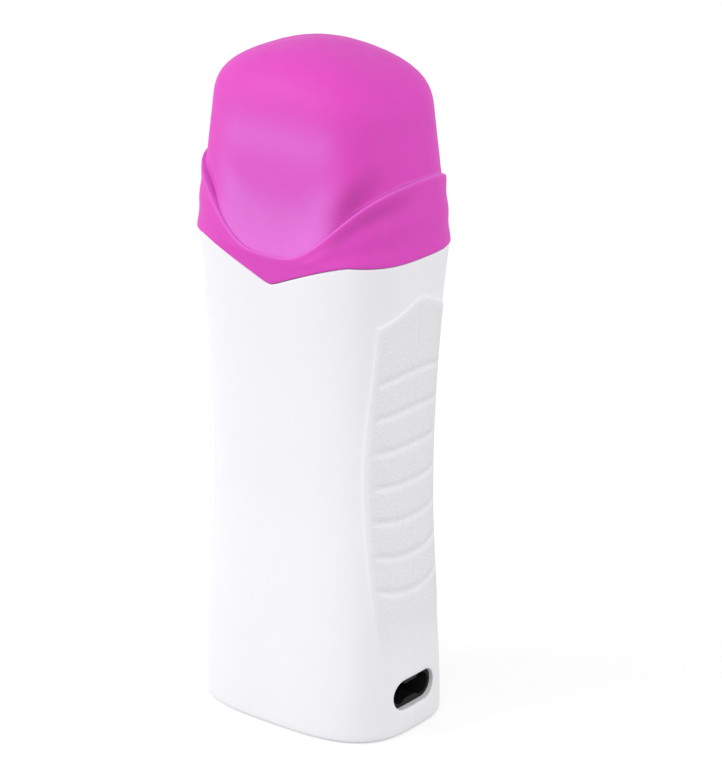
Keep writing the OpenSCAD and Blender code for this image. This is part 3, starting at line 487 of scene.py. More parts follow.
def bottle_finish():
    """Translucent bottle plastic, slightly milky."""
    finish = Finish("Milky bottle plastic", 0.25, Alpha=0.32, IOR=1.48)
    finish.clouded((0.95, 0.93, 0.89), 12, 3, 0.97, 1.0)
    finish.uneven(3, 4, 0.2, 0.33)
    finish.bump(finish.noise(0.8, 2), 0.01)
    return finish


def wax_finish(colours):
    """Set wax: cloudy, with a faintly rippled skin."""
    finish = Finish("Set wax", 0.35, Subsurface_Weight=0.6, Subsurface_Scale=3 * MM)
    finish.clouded(colours.wax, 7, 6, 0.85, 1.15)
    finish.uneven(2, 4, 0.28, 0.45)
    finish.bump(finish.noise(3, 3), 0.08)
    return finish


# ---- forms of the body and cap

CAP_CLEARANCE = 0.3 * MM  # between the neck and the cap's inside
BORE_INSET = 2.3 * MM  # of the neck's bore from the cap's inside
RIM_CHAMFER = 0.3 * MM  # at the top of the neck


def unit_at(body, direction):
    """Unit point of the section seen in a direction from its middle, in radians."""
    c, s = cos(direction), sin(direction)
    p = body.squareness
    a, b = body.rim_width, body.rim_depth
    size = (abs(c / a) ** p + abs(s / b) ** p) ** (-1 / p)
    return c / a * size, s / b * size


def unit_beside(body, unit_y, side):
    """Unit point of the section at a share of its depth, on the side +1 or -1 along X."""
    p = body.squareness
    return side * (1 - abs(unit_y) ** p) ** (1 / p), unit_y


def body_half(body, z, inset=0.0):
    """Half-sizes of the body at a height: it flares from its waist to its foot and its rim."""
    if z < body.waist_height:
        flare = (1 - cos(pi * (body.waist_height - z) / body.waist_height)) / 2
        end = body.foot_width, body.foot_depth
    else:
        flare = ((z - body.waist_height) / (body.cap_line - body.waist_height)) ** 2
        end = body.rim_width, body.rim_depth
    return (mix(body.waist_width, end[0], flare) / 2 - inset,
            mix(body.waist_depth, end[1], flare) / 2 - inset)


def skirt_half(body, cap, z, inset=0.0):
    """Half-sizes of the cap's skirt: it follows the body, then leans inwards."""
    lean = cap.draft * max(0.0, z - body.cap_line)
    return body_half(body, min(z, body.cap_line), inset - cap.proud + lean)


def narrow_share(body, unit):
    """1 at the middle of a narrow side, 0 at the middle of a wide face."""
    x, y = body.rim_width * unit[0], body.rim_depth * unit[1]
    return x * x / (x * x + y * y)


def cap_line(body, unit):
    """Height of the cap line: level, with a point that drops on each wide face."""
    tip = 0.05
    away = hypot(abs(unit[0]) * body.rim_width / 2 / body.dip_reach, tip) - tip
    return body.cap_line - body.dip * (1 - min(1.0, away)) ** 1.2


def lip_height(cap, narrow):
    """Height of the skirt's lip, which sweeps from the wide faces (0) up to the narrow sides (1)."""
    return mix(cap.lip_low, cap.lip_high, mix(narrow, ease(narrow), 0.8))


def point(unit, half, z):
    return half[0] * unit[0], half[1] * unit[1], z


class Form:
    """Rows of corners; the method named by a row's kind places its corners."""

    def __init__(self, body, cap, table):
        self.body, self.cap = body, cap
        self.rows = [(kind, value) for kind, values in table for value in values]

    def narrow(self, unit):
        return narrow_share(self.body, unit)

    def on_skirt(self, unit, z, inset):
        return point(unit, skirt_half(self.body, self.cap, z, inset), z)

    def solid(self, name, columns):
        return wrapped_solid(name, columns, len(self.rows) - 1, self.place)


# ---- body shells

# Columns of one quarter, from the parting line to the middle of a wide face. Up to 1 they lie
# on the grip pad, from 1 to 2 on its sloping edge and from 2 to 3 on the plain body.
PAD_COLUMNS = [0.03, 0.1, 0.18, 0.27, 0.36, 0.45, 0.54, 0.63, 0.71, 0.77, 0.82, 0.87, 0.92, 0.965, 1.0]
EDGE_COLUMNS = [1.2, 1.4, 1.6, 1.8, 2.0]
PLAIN_COLUMNS = spread(2.0, 3.0, 26)[1:]

# Side edge of a grip pad from its low end up, as shares of its height and of its half-width
PAD_SIDE = [(0, 0.84), (0.05, 0.84), (0.09, 0.9), (0.17, 0.94), (0.25, 0.962), (0.36, 0.973),
            (0.44, 0.984), (0.54, 1), (0.65, 0.996), (0.77, 0.974), (0.89, 0.938), (1, 0.93)]
PAD_RUN_OUT = 16 * MM  # height over which the pad's low end fades

# Drop and inset of the rows that round the outside's top edge, in millimetres
BROW = ((0.3, 0), (0.15, 0.04), (0.04, 0.15))

# Lowest line of a groove, as a share of its half-width from its middle; its upper flank is longer
GROOVE_FLOOR = -0.25

# Inside of the shells: depths under the chamber's top, then heights of the bay and its two plans
GASKET_SEAT = 1.2 * MM
THROAT_FOOT = 4.2 * MM
THROAT_LEDGE = 2.3 * MM  # from the gasket's outside to the throat
DRAWN_BAY_FOOT = 141 * MM
UPPER_PLAN = 100 * MM
LOWER_PLAN = 60 * MM
BAY_HEIGHTS = (129, 110, 90, 70, 50, 30, 12)


def along(table, share):
    """Value of a table of steps at a share, on the straight line between its steps."""
    for low, high in zip(table, table[1:]):
        if share <= high[0]:
            return mix(low[1], high[1], share_of(share, low[0], high[0]))
    return table[-1][1]


def pad_edge(grip, z):
    """Half-width of the pad, widest a little above its middle."""
    share, blur = (z - grip.low) / (grip.top - grip.low), 0.04
    near = [along(PAD_SIDE, share + step) for step in (-blur, 0, blur)]
    return grip.width / 2 * sum(near) / len(near)


def pad_peak(grip, y):
    """Rise of the pad's top edge over its corners at y, with a small round at the point."""
    away, tip = min(1.0, abs(y) / (grip.width / 2 * PAD_SIDE[-1][1])), 0.12
    return grip.peak * (hypot(1, tip) - hypot(away, tip)) / (hypot(1, tip) - tip)


def groove_bow(grip, z):
    """Rise of the middle of a mesh row above its ends on the pad."""
    last = grip.first + (grip.grooves - 1) * grip.pitch
    bow = mix(-grip.bow_low, grip.bow_top, share_of(z, grip.first, last))
    return bow * fade(z, grip.low - 10 * MM, grip.first)


def row_lift(body, grip, z, y):
    """How far a row rises or falls at y, so that rows follow the grooves and the pad's point."""
    away = min(1.0, abs(y) / (grip.width / 2))
    groove_ends = grip.width / grip.span
    bowed = -groove_bow(grip, z) * (away * groove_ends) ** 2
    last = grip.first + (grip.grooves - 1) * grip.pitch
    to_point = fade(z, last + 3 * MM, grip.top)
    to_level = fade(z, grip.top + 0.5 * MM, body.cap_line - 2 * MM)
    return mix(bowed, pad_peak(grip, y), to_point) * (1 - to_level)


def side_heights(body, grip):
    """Nominal heights of the rows up the outside, closest at the grooves."""
    heights = spread(body.foot_round, grip.first - 2.4 * MM, 26)
    for k in range(grip.grooves):
        middle = grip.first + k * grip.pitch
        heights += [middle + step * grip.half for step in spread(-1, 1, 8)]
        if k < grip.grooves - 1:
            heights += spread(middle + grip.half, middle + grip.pitch - grip.half, 8)[1:-1]
    heights += spread(heights[-1], grip.top - grip.edge, 9)[1:]
    heights += spread(grip.top - grip.edge, grip.top, 4)[1:]
    return heights + spread(grip.top, body.cap_line, 14)[1:]


def pad_height(grip, z, column):
    """How far the surface stands proud at a nominal height and column."""
    across = 1 - fade(column, 1, 2)
    top = 1 - fade(z, grip.top - grip.edge, grip.top)
    low = fade(z, grip.low, grip.low + PAD_RUN_OUT)
    return grip.rise * across * top * low


def groove_sink(grip, z, y):
    """Depth of the finger grooves at a nominal height and place across the pad."""
    k = round((z - grip.first) / grip.pitch)
    if not 0 <= k < grip.grooves:
        return 0.0
    off = (z - grip.first - k * grip.pitch) / grip.half - GROOVE_FLOOR
    off /= (1 if off > 0 else -1) - GROOVE_FLOOR
    ends = 1 - fade(abs(y), grip.span / 2 - 1.0 * MM, grip.span / 2 + 0.9 * MM)
    return grip.depth * ends * (1 - ease(min(1.0, off)))


class ShellForm(Form):
    """A shell half from its outside to its inside; turned is 1 for the rear, -1 for the front."""

    def __init__(self, body, grip, cap, turned):
        super().__init__(body, cap, self.row_table(body, grip))
        self.grip, self.turned = grip, turned
        seam = [("y", body.seam * share) for share in (0, 0.5, 1, 2)]
        quarter = seam + [("q", q) for q in PAD_COLUMNS + EDGE_COLUMNS + PLAIN_COLUMNS]
        self.columns = [(kind, a, 1) for kind, a in quarter]
        self.columns += [(kind, a, -1) for kind, a in reversed(quarter[:-1])]
        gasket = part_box("collar_gasket")[1]
        self.throat_half = gasket[0] - THROAT_LEDGE, gasket[1] - THROAT_LEDGE
        self.bore_inset = cap.wall + cap.lip_step + BORE_INSET

    def row_table(self, body, grip):
        """Rows by kind, from the middle of the foot up the outside and down the inside."""
        chamber_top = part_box("heater_sleeve")[1][2]
        seat, foot = chamber_top - GASKET_SEAT, chamber_top - THROAT_FOOT
        brow = [(body.cap_line - drop * MM, inset * MM) for drop, inset in BROW]
        return (
            ("flat", (0, 0.3, 0.6, 0.8, 0.92, 0.98)),
            ("foot", (90, 67.5, 45, 22.5)),
            ("side", [(z, 0) for z in side_heights(body, grip)[:-1]] + brow),
            ("ledge", (0.15, 0.5, 0.9, 1.0)),
            ("neck", (0.02, 0.3, 0.6, 0.93)),
            ("rim", (0.2, 0.8)),
            ("bore", (body.neck_top - RIM_CHAMFER, seat)),
            ("throat", (seat, foot)),
            ("drawn_bay", (foot, DRAWN_BAY_FOOT)),
            ("bay", [z * MM for z in BAY_HEIGHTS] + [body.wall]),
            ("floor", (0.5, 0)),
        )

    def unit(self, column, z):
        """Unit point, place across and pad column of a mesh column at a nominal height."""
        kind, a, side = self.columns[column]
        body, pad_slope = self.body, self.grip.edge
        half_y = body_half(body, z)[1]
        if kind == "y":
            return unit_beside(body, a / half_y, side), a, 0.0
        edge = pad_edge(self.grip, z)
        if a <= 2:
            y = edge * a if a <= 1 else edge + (a - 1) * pad_slope
            return unit_beside(body, y / half_y, side), y, a
        edge_x, edge_y = unit_beside(body, (edge + pad_slope) / half_y, 1)
        start = atan2(edge_y * body.rim_depth, edge_x * body.rim_width)
        unit = unit_at(body, mix(start, pi / 2, a - 2))
        return (side * unit[0], unit[1]), edge + pad_slope, a

    def top_unit(self, column):
        return self.unit(column, self.body.cap_line)[0]

    def inner_unit(self, column, z):
        """Unit point inside, where the upper and the lower part each keep one plan."""
        return self.top_unit(column) if z > UPPER_PLAN else self.unit(column, LOWER_PLAN)[0]

    def seam_sink(self, y):
        """Rounding of the outer edge along the parting line."""
        off = min(1.0, abs(y) / (2 * self.body.seam))
        return 1.4 * self.body.seam * (1 - off) ** 2

    def place(self, column, row):
        kind, value = self.rows[row]
        x, y, z = getattr(self, kind)(column, value)
        return self.turned * x, self.turned * y, z

    def foot(self, column, angle):
        """A corner of the foot's rounding, from its flat underside (90) to the side."""
        unit, y, _ = self.unit(column, 0)
        turn = radians(angle)
        inset = self.body.foot_round * (1 - cos(turn)) + self.seam_sink(y)
        return point(unit, body_half(self.body, 0, inset), self.body.foot_round * (1 - sin(turn)))

    def flat(self, column, share):
        x, y, z = self.foot(column, 90)
        return x * share, y * share, z

    def side(self, column, spot):
        """A corner of the outside, with the pad, the grooves and the parting line in it."""
        body, grip = self.body, self.grip
        height, inset = spot
        unit, y, q = self.unit(column, height)
        line = cap_line(body, unit)
        lift = row_lift(body, grip, height, y) * (1 - fade(q, 1.6, 2.5))
        z = mix(body.foot_round, line, share_of(height, body.foot_round, body.cap_line)) + lift
        sink = groove_sink(grip, height, y) if q <= 1 else 0.0
        proud = pad_height(grip, height, q) - sink
        if q <= 2:
            unit = unit_beside(body, y / body_half(body, z)[1], copysign(1, unit[0]))
        return point(unit, body_half(body, z, inset - proud + self.seam_sink(y)), z)

    def neck_inset(self, unit):
        """Inset of the neck from the skirt's outside, deeper where the crown is narrower."""
        stepped = min(1.0, 3 * (1 - self.narrow(unit)))
        return self.cap.wall + CAP_CLEARANCE + self.cap.lip_step * stepped

    def ledge(self, column, share):
        """A corner of the ledge under the cap, from the outside in to the neck."""
        unit, y, _ = self.unit(column, self.body.cap_line)
        line = cap_line(self.body, unit)
        deep = self.neck_inset(unit) - self.cap.proud
        half = body_half(self.body, line, mix(0.3 * MM, deep, share))
        sink = self.seam_sink(y) * (1 - share)
        return point(unit, (half[0] - sink, half[1] - sink), line - (0.02 * MM if share < 1 else 0))

    def neck(self, column, share):
        unit = self.top_unit(column)
        z = mix(cap_line(self.body, unit), self.body.neck_top - RIM_CHAMFER, share)
        return self.on_skirt(unit, z, self.neck_inset(unit))

    def rim(self, column, share):
        unit = self.top_unit(column)
        inset = mix(self.neck_inset(unit), self.bore_inset, share)
        return self.on_skirt(unit, self.body.neck_top, inset)

    def bore(self, column, z):
        return self.on_skirt(self.inner_unit(column, z), z, self.bore_inset)

    def throat(self, column, z):
        return point(self.inner_unit(column, z), self.throat_half, z)

    def drawn_bay(self, column, z):
        return self.bay(column, z, self.bore_inset)

    def bay(self, column, z, inset=None):
        return point(self.inner_unit(column, z), body_half(self.body, z, inset or self.body.wall), z)

    def floor(self, column, share):
        wall = self.body.wall
        half = body_half(self.body, wall, wall)
        return point(self.top_unit(column), (half[0] * share, half[1] * share), wall)


def slot_cutter(body, turns=64):
    """Solid of the inlet's opening, which flares to a soft edge at the body's surface."""
    low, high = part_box("mains_inlet")
    flange = 1.4 * MM
    width, height = high[1] - low[1] - 2 * flange, high[2] - low[2] - 2 * flange
    middle_z = middle_of(low, high, 2)
    clearance, flare, flare_end = 0.15 * MM, 0.6 * MM, 1.1
    # depth below the surface and growth of the outline for each ring, round a quarter circle
    rings = [(None, 0.0)]
    rings += [(flare * (1 - sin(a)), flare * (1 - cos(a))) for a in spread(0, flare_end, 5)]
    rings += [(-1.5 * MM, flare * (1 - cos(flare_end)) + 2.6 * MM)]

    def place(column, row):
        turn = 2 * pi * column / turns
        depth, growth = rings[row]
        reach = height / 2 + clearance + growth
        ends = copysign((width - height) / 2, cos(turn)) if abs(cos(turn)) > 1e-6 else 0.0
        y = ends + reach * cos(turn)
        z = middle_z + reach * sin(turn)
        if depth is None:
            return high[0] - 5 * MM, y, z
        half = body_half(body, max(z, 0.0))
        return half[0] * unit_beside(body, y / half[1], 1)[0] - depth, y, z

    return wrapped_solid("slot_cutter", turns, len(rings) - 1, place)


def open_rear(rear, body):
    """Adds the rear shell's screw bosses and cuts its recesses and lamp hole."""
    outside = body.foot_depth / 2 + 4 * MM
    boss_wall, clearance, seat = 1.6 * MM, 0.25 * MM, 2.4 * MM
    boss_start, boss_end = 0.4 * MM, body.waist_depth / 2 - 2 * MM
    low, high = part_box("shell_screws")
    head, z = (high[2] - low[2]) / 2, middle_of(low, high, 2)
    for x in (low[0] + head, high[0] - head):
        cut_with(rear, rod("boss", head + boss_wall, x, z, boss_start, boss_end), "UNION")
        cut_with(rear, rod("recess", head + clearance, x, z, high[1] - seat, outside))
    low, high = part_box("lamp_lens")
    lamp_radius, lamp_start = 2.6 * MM, 15 * MM
    x, z = middle_of(low, high, 0), middle_of(low, high, 2)
    cut_with(rear, rod("lamp_hole", lamp_radius, x, z, lamp_start, outside))


class WARMER_OT_shells(bpy.types.Operator):
    """Model the two body shells with their grip pads, grooves and openings"""

    bl_idname = "warmer.shells"
    bl_label = "Body shells"

    def execute(self, context):
        scene = context.scene
        body, grip, cap = scene.warmer_body, scene.warmer_grip, scene.warmer_cap
        finish = shell_finish(scene.warmer_finish)
        for side, turned in (("front", -1), ("rear", 1)):
            form = ShellForm(body, grip, cap, turned)
            piece = form.solid("body_" + side, len(form.columns) - 1)
            cut_with(piece, slot_cutter(body))
            if turned == 1:
                open_rear(piece, body)
            mark_grip(piece, body, grip)
            smooth(piece, 40)
            dress(piece, "housing", finish, side + "_shell")
        return {"FINISHED"}


def write_attribute(piece, name, values):
    piece.data.attributes.new(name, "FLOAT", "POINT").data.foreach_set("value", values)


def mark_grip(piece, body, grip):
    """Writes an attribute that is 1 on the grip pads, for their finer texture."""
    values = []
    soft = 0.3 * MM
    for corner in piece.data.vertices:
        x, y, z = corner.co
        edge = pad_edge(grip, z) - grip.edge * 0.6
        peak = grip.top + pad_peak(grip, y) - grip.edge
        on_side = abs(x) > 0.6 * body_half(body, max(z, 0.0))[0]
        inside = 1 - share_of(abs(y), edge - soft, edge + soft)
        above = share_of(z, grip.low, grip.low + 14 * MM)
        below = 1 - share_of(z, peak - soft, peak + soft)
        values.append(inside * above * below if on_side else 0.0)
    write_attribute(piece, "grip", values)


# ---- cap


class CapForm(Form):
    """The cap, from the dome's inside round its lower edge to its outside."""

    COLUMNS = 180
    EDGE_ROUND = 0.4 * MM
    LIP_ROUND = 0.45 * MM
    NARROW_COVE = 3 * MM  # height of the cove on the narrow sides
    ROWS = (
        ("inner_dome", (90, 84, 72, 60, 48, 36, 24, 12, 4)),
        ("inner_wall", (1, 0.75, 0.5, 0.25, 0)),
        ("inner_lip", (1.5 * MM,)),
        ("inner_skirt", (1, 0.5, 0.04)),
        ("edge", (-60, -25, 0, 25, 50, 75)),
        ("skirt", spread(0, 1, 30)),
        ("lip", (15, 35, 55, 75, 90)),
        ("ledge", (0.45, 0.9)),
        ("cove", (0, 0.03, 0.07, 0.12, 0.18, 0.25, 0.33, 0.42, 0.52, 0.63, 0.75, 0.87, 1)),
        ("wall", spread(0, 1, 12)[1:]),
        ("dome", (0.3, 1, 2, 3.5, 5.5, 8, 11, 15, 20, 26, 33, 40, 47, 54, 61, 68, 75, 81, 86, 90)),
    )

    def __init__(self, body, cap):
        super().__init__(body, cap, self.ROWS)
        self.units = [unit_at(body, 2 * pi * k / self.COLUMNS) for k in range(self.COLUMNS)]

    def place(self, column, row):
        kind, value = self.rows[row]
        return getattr(self, kind)(self.units[column % self.COLUMNS], value)

    def lip_line(self, unit):
        return lip_height(self.cap, self.narrow(unit))

    def crown_half(self, inset=0.0):
        return self.cap.crown_width / 2 - inset, self.cap.crown_depth / 2 - inset

    def edge_height(self, unit):
        return cap_line(self.body, unit) + self.cap.gap

    def cove_top(self, unit):
        return self.lip_line(unit) + mix(self.cap.cove, self.NARROW_COVE, self.narrow(unit))

    def hollow(self, unit):
        """Depth of the soft hollow, greatest at the middle of a wide face."""
        return self.cap.hollow * (1 - fade(self.narrow(unit), 0.1, 0.55))

    def cove_foot(self, unit):
        """Inset at the foot of the cove: shallow on the wide faces, pinched in at the corners."""
        share = self.narrow(unit)
        return mix(0.7, 1.0, share) * MM + self.cap.pinch * bell(share, 0.6, 0.15)

    def edge(self, unit, angle):
        """Rounded lower edge, from its underside to the outside."""
        turn = radians(angle)
        z = self.edge_height(unit) + self.EDGE_ROUND * (1 - cos(turn))
        return self.on_skirt(unit, z, self.EDGE_ROUND * (1 - sin(turn)))

    def skirt(self, unit, share):
        """Outside of the skirt with its two soft folds on the narrow sides."""
        z = mix(self.edge_height(unit) + self.EDGE_ROUND, self.lip_line(unit) - self.LIP_ROUND, share)
        fold = self.cap.fold * self.narrow(unit) * sin(2 * pi * share) ** 2
        return self.on_skirt(unit, z, fold)

    def lip(self, unit, angle):
        turn = radians(angle)
        z = self.lip_line(unit) - self.LIP_ROUND * (1 - sin(turn))
        return self.on_skirt(unit, z, self.LIP_ROUND * (1 - cos(turn)))

    def ledge(self, unit, share):
        """Short ledge behind the lip, which dips into the line at the foot of the cove."""
        z = self.lip_line(unit) - 0.2 * MM * share
        return self.on_skirt(unit, z, mix(self.LIP_ROUND, self.cove_foot(unit), share))

    def cove(self, unit, share):
        z = mix(self.lip_line(unit) - 0.15 * MM, self.cove_top(unit), share)
        top = self.cap.lip_step + self.hollow(unit)
        return self.on_skirt(unit, z, mix(top, self.cove_foot(unit), (1 - share) ** 2.4))

    def wall(self, unit, share, inset=0.0):
        foot = self.cove_top(unit)
        hollow = 0.0 if inset else self.hollow(unit) * (1 - ease(share))
        start = skirt_half(self.body, self.cap, foot, self.cap.lip_step + inset)
        end = self.crown_half(inset)
        half = mix(start[0], end[0], share) - hollow, mix(start[1], end[1], share) - hollow
        return point(unit, half, mix(foot, self.cap.dome, share))

    def dome(self, unit, angle, inset=0.0):
        cap, turn = self.cap, radians(angle)
        climb = (cap.top - inset - cap.dome) * sin(turn) ** (2 / cap.fullness)
        half = self.crown_half(inset + cap.dome_lean * climb)
        x, y = half[0] * cos(turn) * unit[0], half[1] * cos(turn) * unit[1]
        drop = cap.ridge_fall * (hypot(x, cap.ridge_round) - cap.ridge_round)
        return x, y, cap.dome + climb - drop * (angle / 90) ** 0.7

    def inner_dome(self, unit, angle):
        return self.dome(unit, angle, self.cap.wall)

    def inner_wall(self, unit, share):
        return self.wall(unit, share, self.cap.wall)

    def inner_lip(self, unit, rise):
        return self.on_skirt(unit, self.lip_line(unit) + rise, self.cap.wall + self.cap.lip_step)

    def inner_skirt(self, unit, share):
        top = self.lip_line(unit) - 1.2 * MM
        return self.on_skirt(unit, mix(self.edge_height(unit), top, share), self.cap.wall)


def mark_haze_highlight_and_shade(piece, body, cap):
    """Writes two attributes: one for the paler milky magenta, partly the thin wall's haze and partly
    painted highlight in the cove, under the dome and along the lip, and one for painted shade at two
    opposite corners by the lip.
    """
    haze_and_highlight, deep = [], []
    for corner in piece.data.vertices:
        x, y, z = corner.co
        narrow = narrow_share(body, (x / body.rim_width, y / body.rim_depth)) if x or y else 0.0
        over_lip = z - lip_height(cap, narrow)
        wide = 1 - fade(narrow, 0.3, 0.66)
        # Pale bands, partly haze and partly painted highlight: in the cove above the lip and under the
        # dome.
        cove = fade(over_lip, -1.5 * MM, 0.5 * MM) * (1 - 0.6 * fade(over_lip, 9 * MM, 20 * MM))
        upper = 0.35 * bell(z, cap.dome - 4 * MM, 6 * MM)
        fall = 1 - fade(z, cap.dome - 4 * MM, cap.dome + 9 * MM)
        # Painted highlight: a thin pale line along the lip's rounding.
        line = 0.75 * bell(over_lip, -0.1 * MM, 0.5 * MM)
        haze_and_highlight.append(max(line, wide * min(1.0, cove + upper) * fall))
        # Painted shade at only two opposite corners: a patch above the lip and one beside it below.
        handed = fade(-x * y / (body.rim_width * body.rim_depth), 0, 0.12)
        above = bell(narrow, 0.64, 0.17) * bell(over_lip, 4 * MM, 5 * MM)
        beside = 0.6 * fade(narrow, 0.35, 0.5) * bell(over_lip, -4 * MM, 2.5 * MM)
        deep.append(handed * (1 - line) * min(1.0, above + beside))
    write_attribute(piece, "haze_and_highlight", haze_and_highlight)
    write_attribute(piece, "deep", deep)


class WARMER_OT_cap(bpy.types.Operator):
    """Model the domed cap with its pointed skirt, swept lip and crown"""

    bl_idname = "warmer.cap"
    bl_label = "Cap"

    def execute(self, context):
        form = CapForm(context.scene.warmer_body, context.scene.warmer_cap)
        piece = form.solid("domed_cap", form.COLUMNS)
        smooth(piece, 40)
        mark_haze_highlight_and_shade(piece, form.body, form.cap)
        dress(piece, "cap", cap_finish(context.scene.warmer_finish), "cap")
        return {"FINISHED"}


# ---- inlet, chamber and cartridge


class WARMER_OT_inlet(bpy.types.Operator):
    """Finish the mains inlet and its two contact pins"""

    bl_idname = "warmer.inlet"
    bl_label = "Mains inlet"

    def execute(self, context):
        black = moulded("Black eroded plastic", context.scene.warmer_finish.inlet, 0.5, 0.3,
                        0.02, 0.15, Specular_IOR_Level=0.2)
        soften("mains_inlet", "inlet_moulding", "housing", black, 0.3)
        nickel = metal("Bright contact metal", (0.83, 0.78, 0.68), 0.22)
        soften("inlet_pins", "contact_pins", "housing", nickel, 0.6, 4)
        return {"FINISHED"}


class WARMER_OT_chamber(bpy.types.Operator):
    """Finish the collar round the mouth, the heated sleeve and its gasket"""

    bl_idname = "warmer.chamber"
    bl_label = "Heated chamber"

    def execute(self, context):
        white = moulded("White inner plastic", (0.86, 0.86, 0.87), 0.38)
        soften("neck_collar", "mouth_collar", "housing", white, 0.4, 3)
        drawn = metal("Drawn aluminium", (0.78, 0.79, 0.8), 0.3, (0.25, 0.25, 25))
        soften("heater_sleeve", "drawn_sleeve", "housing", drawn, 0.3)
        give_finish(moulded("Grey silicone", (0.4, 0.38, 0.36), 0.7, 0.6), "collar_gasket")
        return {"FINISHED"}


class WARMER_OT_cartridge(bpy.types.Operator):
    """Finish the wax bottle, its wax, the roller's head and the roller"""

    bl_idname = "warmer.cartridge"
    bl_label = "Wax cartridge"

    def execute(self, context):
        milky = bottle_finish()
        soften("wax_bottle", "cartridge_bottle", "cartridge", milky, 0.5, 3)
        give_finish(wax_finish(context.scene.warmer_finish), "wax_fill")
        white = moulded("White head plastic", (0.87, 0.87, 0.88), 0.36)
        soften("roller_head", "roller_frame", "cartridge", white, 0.6, 3)
        pale = moulded("Roller plastic", (0.82, 0.81, 0.79), 0.3, 0.6, 0.02)
        soften("wax_roller", "rolling_bar", "roller", pale, 0.8, 4)
        return {"FINISHED"}


class WARMER_OT_inner(bpy.types.Operator):
    """Finish the heater, the wiring, the screws and the pilot lamp"""

    bl_idname = "warmer.inner"
    bl_label = "Heater, wiring and lamp"

    def execute(self, context):
        ceramic = moulded("Fired ceramic", (0.17, 0.15, 0.145), 0.6, 0.25, 0.03, 0.1)
        give_finish(ceramic, "heating_element", "thermostat")
        give_finish(metal("Stamped brass", (0.72, 0.5, 0.18), 0.3), "brass_electrodes")
        steel = metal("Zinc-plated steel", (0.62, 0.63, 0.65), 0.28, (0.4, 0.4, 0.8))
        give_finish(steel, "clamp_plate", "clamp_screws", "shell_screws", "thermal_fuse")
        for node, *look in (
                ("insulating_sheets", "Amber film", (0.55, 0.27, 0.05), 0.25, 3, 0.02, 0.08),
                ("push_on_terminals", "Clear sleeving", (0.75, 0.74, 0.7), 0.3, 1, 0.02),
                ("lamp_lens", "Frosted lens", (0.86, 0.85, 0.83), 0.3, 0.5, 0.01),
                ("lamp_led", "Red lamp plastic", (0.65, 0.03, 0.02), 0.15, 1, 0.004),
                ("lamp_board", "Green solder mask", (0.02, 0.14, 0.06), 0.3, 0.8, 0.01, 0.2),
                ("live_wire", "Brown insulation", (0.15, 0.05, 0.02), 0.45),
                ("neutral_wire", "Blue insulation", (0.03, 0.12, 0.35), 0.45)):
            give_finish(moulded(*look), node)
        give_finish(braided("Glass-fibre braid", (0.78, 0.73, 0.62)), "fuse_sleeve")
        give_finish(braided("White wire braid", (0.65, 0.62, 0.58), 0.8), "link_wire", "lamp_wires")
        return {"FINISHED"}


# ---- stage

PAPER_GLOW = 0.6
ROOM_LIGHT = 0.69
LAMPS = (  # name, place, size and power of each soft box
    ("front_box", (-1.35, -1.72, 0.8), 1.6, 29),
    ("side_box", (1.7, -0.2, 0.8), 1.4, 11.8),
)


def grey(level):
    return level, level, level, 1


def soft_lamp(name, place, size, power, aim):
    """A square soft box turned towards its aim."""
    clear_selection()
    place = Vector(place)
    bpy.ops.object.light_add(type="AREA", location=place,
                             rotation=(aim - place).to_track_quat("-Z", "Y").to_euler())
    lamp = bpy.context.object
    lamp.name = name
    lamp.data.size = size
    lamp.data.energy = power


def seen_directly(tree):
    """A socket that is 1 for what the camera sees, also in metal and through glass."""
    path = tree.nodes.new("ShaderNodeLightPath").outputs
    seen = path["Is Camera Ray"]
    for other in ("Is Glossy Ray", "Is Transmission Ray"):
        seen = add_node(tree, "Math", {0: seen, 1: path[other]}, operation="MAXIMUM")
    return seen


def whiten(paper, level):
    """Lifts a floor evenly where it is seen, so that only its shadows stay below white."""
    glow = paper.add("Emission", {"Color": grey(level), "Strength": seen_directly(paper.tree)})
    lifted = paper.add("AddShader", {0: paper.shader.outputs["BSDF"], 1: glow})
    paper.tree.links.new(lifted, paper.tree.nodes["Material Output"].inputs["Surface"])


def pale_world(level):
    """White behind the object, and a plain level of light from all round."""
    world = bpy.data.worlds.new("Pale room")
    bpy.context.scene.world = world
    world.use_nodes = True
    tree = world.node_tree
    light = tree.nodes["Background"]
    light.inputs["Color"].default_value = grey(1)
    light.inputs["Strength"].default_value = level
    white = add_node(tree, "Background", {"Color": grey(1)})
    sky = add_node(tree, "MixShader", {0: seen_directly(tree), 1: light.outputs[0], 2: white})
    tree.links.new(sky, tree.nodes["World Output"].inputs["Surface"])


def set_camera(stage, middle):
    turn, lift = radians(stage.azimuth), radians(stage.elevation)
    level = cos(lift)
    back = Vector((sin(turn) * level, -cos(turn) * level, sin(lift)))
    bpy.ops.object.camera_add(location=middle + back * stage.distance,
                              rotation=back.to_track_quat("Z", "Y").to_euler())
    camera = bpy.context.object
    camera.name = "studio_camera"
    camera.data.lens = stage.lens
    camera.data.sensor_width = 36
    camera.data.shift_x, camera.data.shift_y = stage.shift_x, stage.shift_y
    camera.data.clip_start = 0.01
    bpy.context.scene.camera = camera


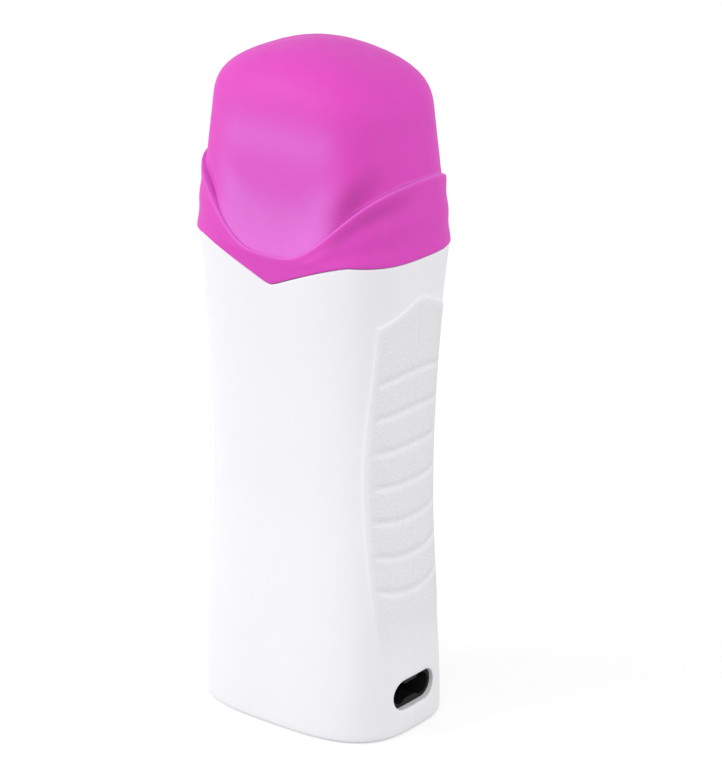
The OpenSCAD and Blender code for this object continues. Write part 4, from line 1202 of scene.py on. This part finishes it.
class WARMER_OT_stage(bpy.types.Operator):
    """Set the floor, the soft lamps, the world and the camera"""

    bl_idname = "warmer.stage"
    bl_label = "Stage"

    def execute(self, context):
        stage = context.scene.warmer_stage
        context.scene.view_settings.view_transform = "Standard"
        clear_selection()
        bpy.ops.mesh.primitive_circle_add(vertices=96, radius=6, fill_type="NGON")
        floor = context.object
        floor.name = "pale_floor"
        paper = Finish("Pale paper floor", 0.9)
        paper.colour(paper.blend(paper.noise(500), grey(0.44), grey(0.46)))
        whiten(paper, PAPER_GLOW)
        floor.data.materials.append(paper.material)
        pale_world(ROOM_LIGHT)
        middle = Vector((0, 0, stage.target))
        for lamp in LAMPS:
            soft_lamp(*lamp, middle)
        set_camera(stage, middle)
        return {"FINISHED"}


# ---- panel and registration


class WARMER_PT_tools(bpy.types.Panel):
    """Lists the warmer's operators and sizes in the sidebar"""

    bl_idname = "WARMER_PT_tools"
    bl_label = "Wax Warmer"
    bl_space_type = "VIEW_3D"
    bl_region_type = "UI"
    bl_category = "Wax Warmer"

    def draw(self, context):
        for operator in OPERATORS:
            self.layout.operator(operator.bl_idname)
        for name, group in GROUPS.items():
            box = self.layout.box()
            for key in group.__annotations__:
                box.prop(getattr(context.scene, name), key)


GROUPS = {
    "warmer_body": WarmerBody,
    "warmer_grip": WarmerGrip,
    "warmer_cap": WarmerCap,
    "warmer_finish": WarmerFinish,
    "warmer_stage": WarmerStage,
}
OPERATORS = (WARMER_OT_stage, WARMER_OT_shells, WARMER_OT_cap, WARMER_OT_inlet, WARMER_OT_chamber,
             WARMER_OT_cartridge, WARMER_OT_inner)
CLASSES = (*GROUPS.values(), *OPERATORS, WARMER_PT_tools)


def register():
    for cls in CLASSES:
        bpy.utils.register_class(cls)
    for name, group in GROUPS.items():
        setattr(bpy.types.Scene, name, PointerProperty(type=group))


def unregister():
    for name in GROUPS:
        delattr(bpy.types.Scene, name)
    for cls in reversed(CLASSES):
        bpy.utils.unregister_class(cls)


def main():
    register()
    for operator in OPERATORS:
        group, name = operator.bl_idname.split(".")
        getattr(getattr(bpy.ops, group), name)()


if __name__ == "__main__":
    main()
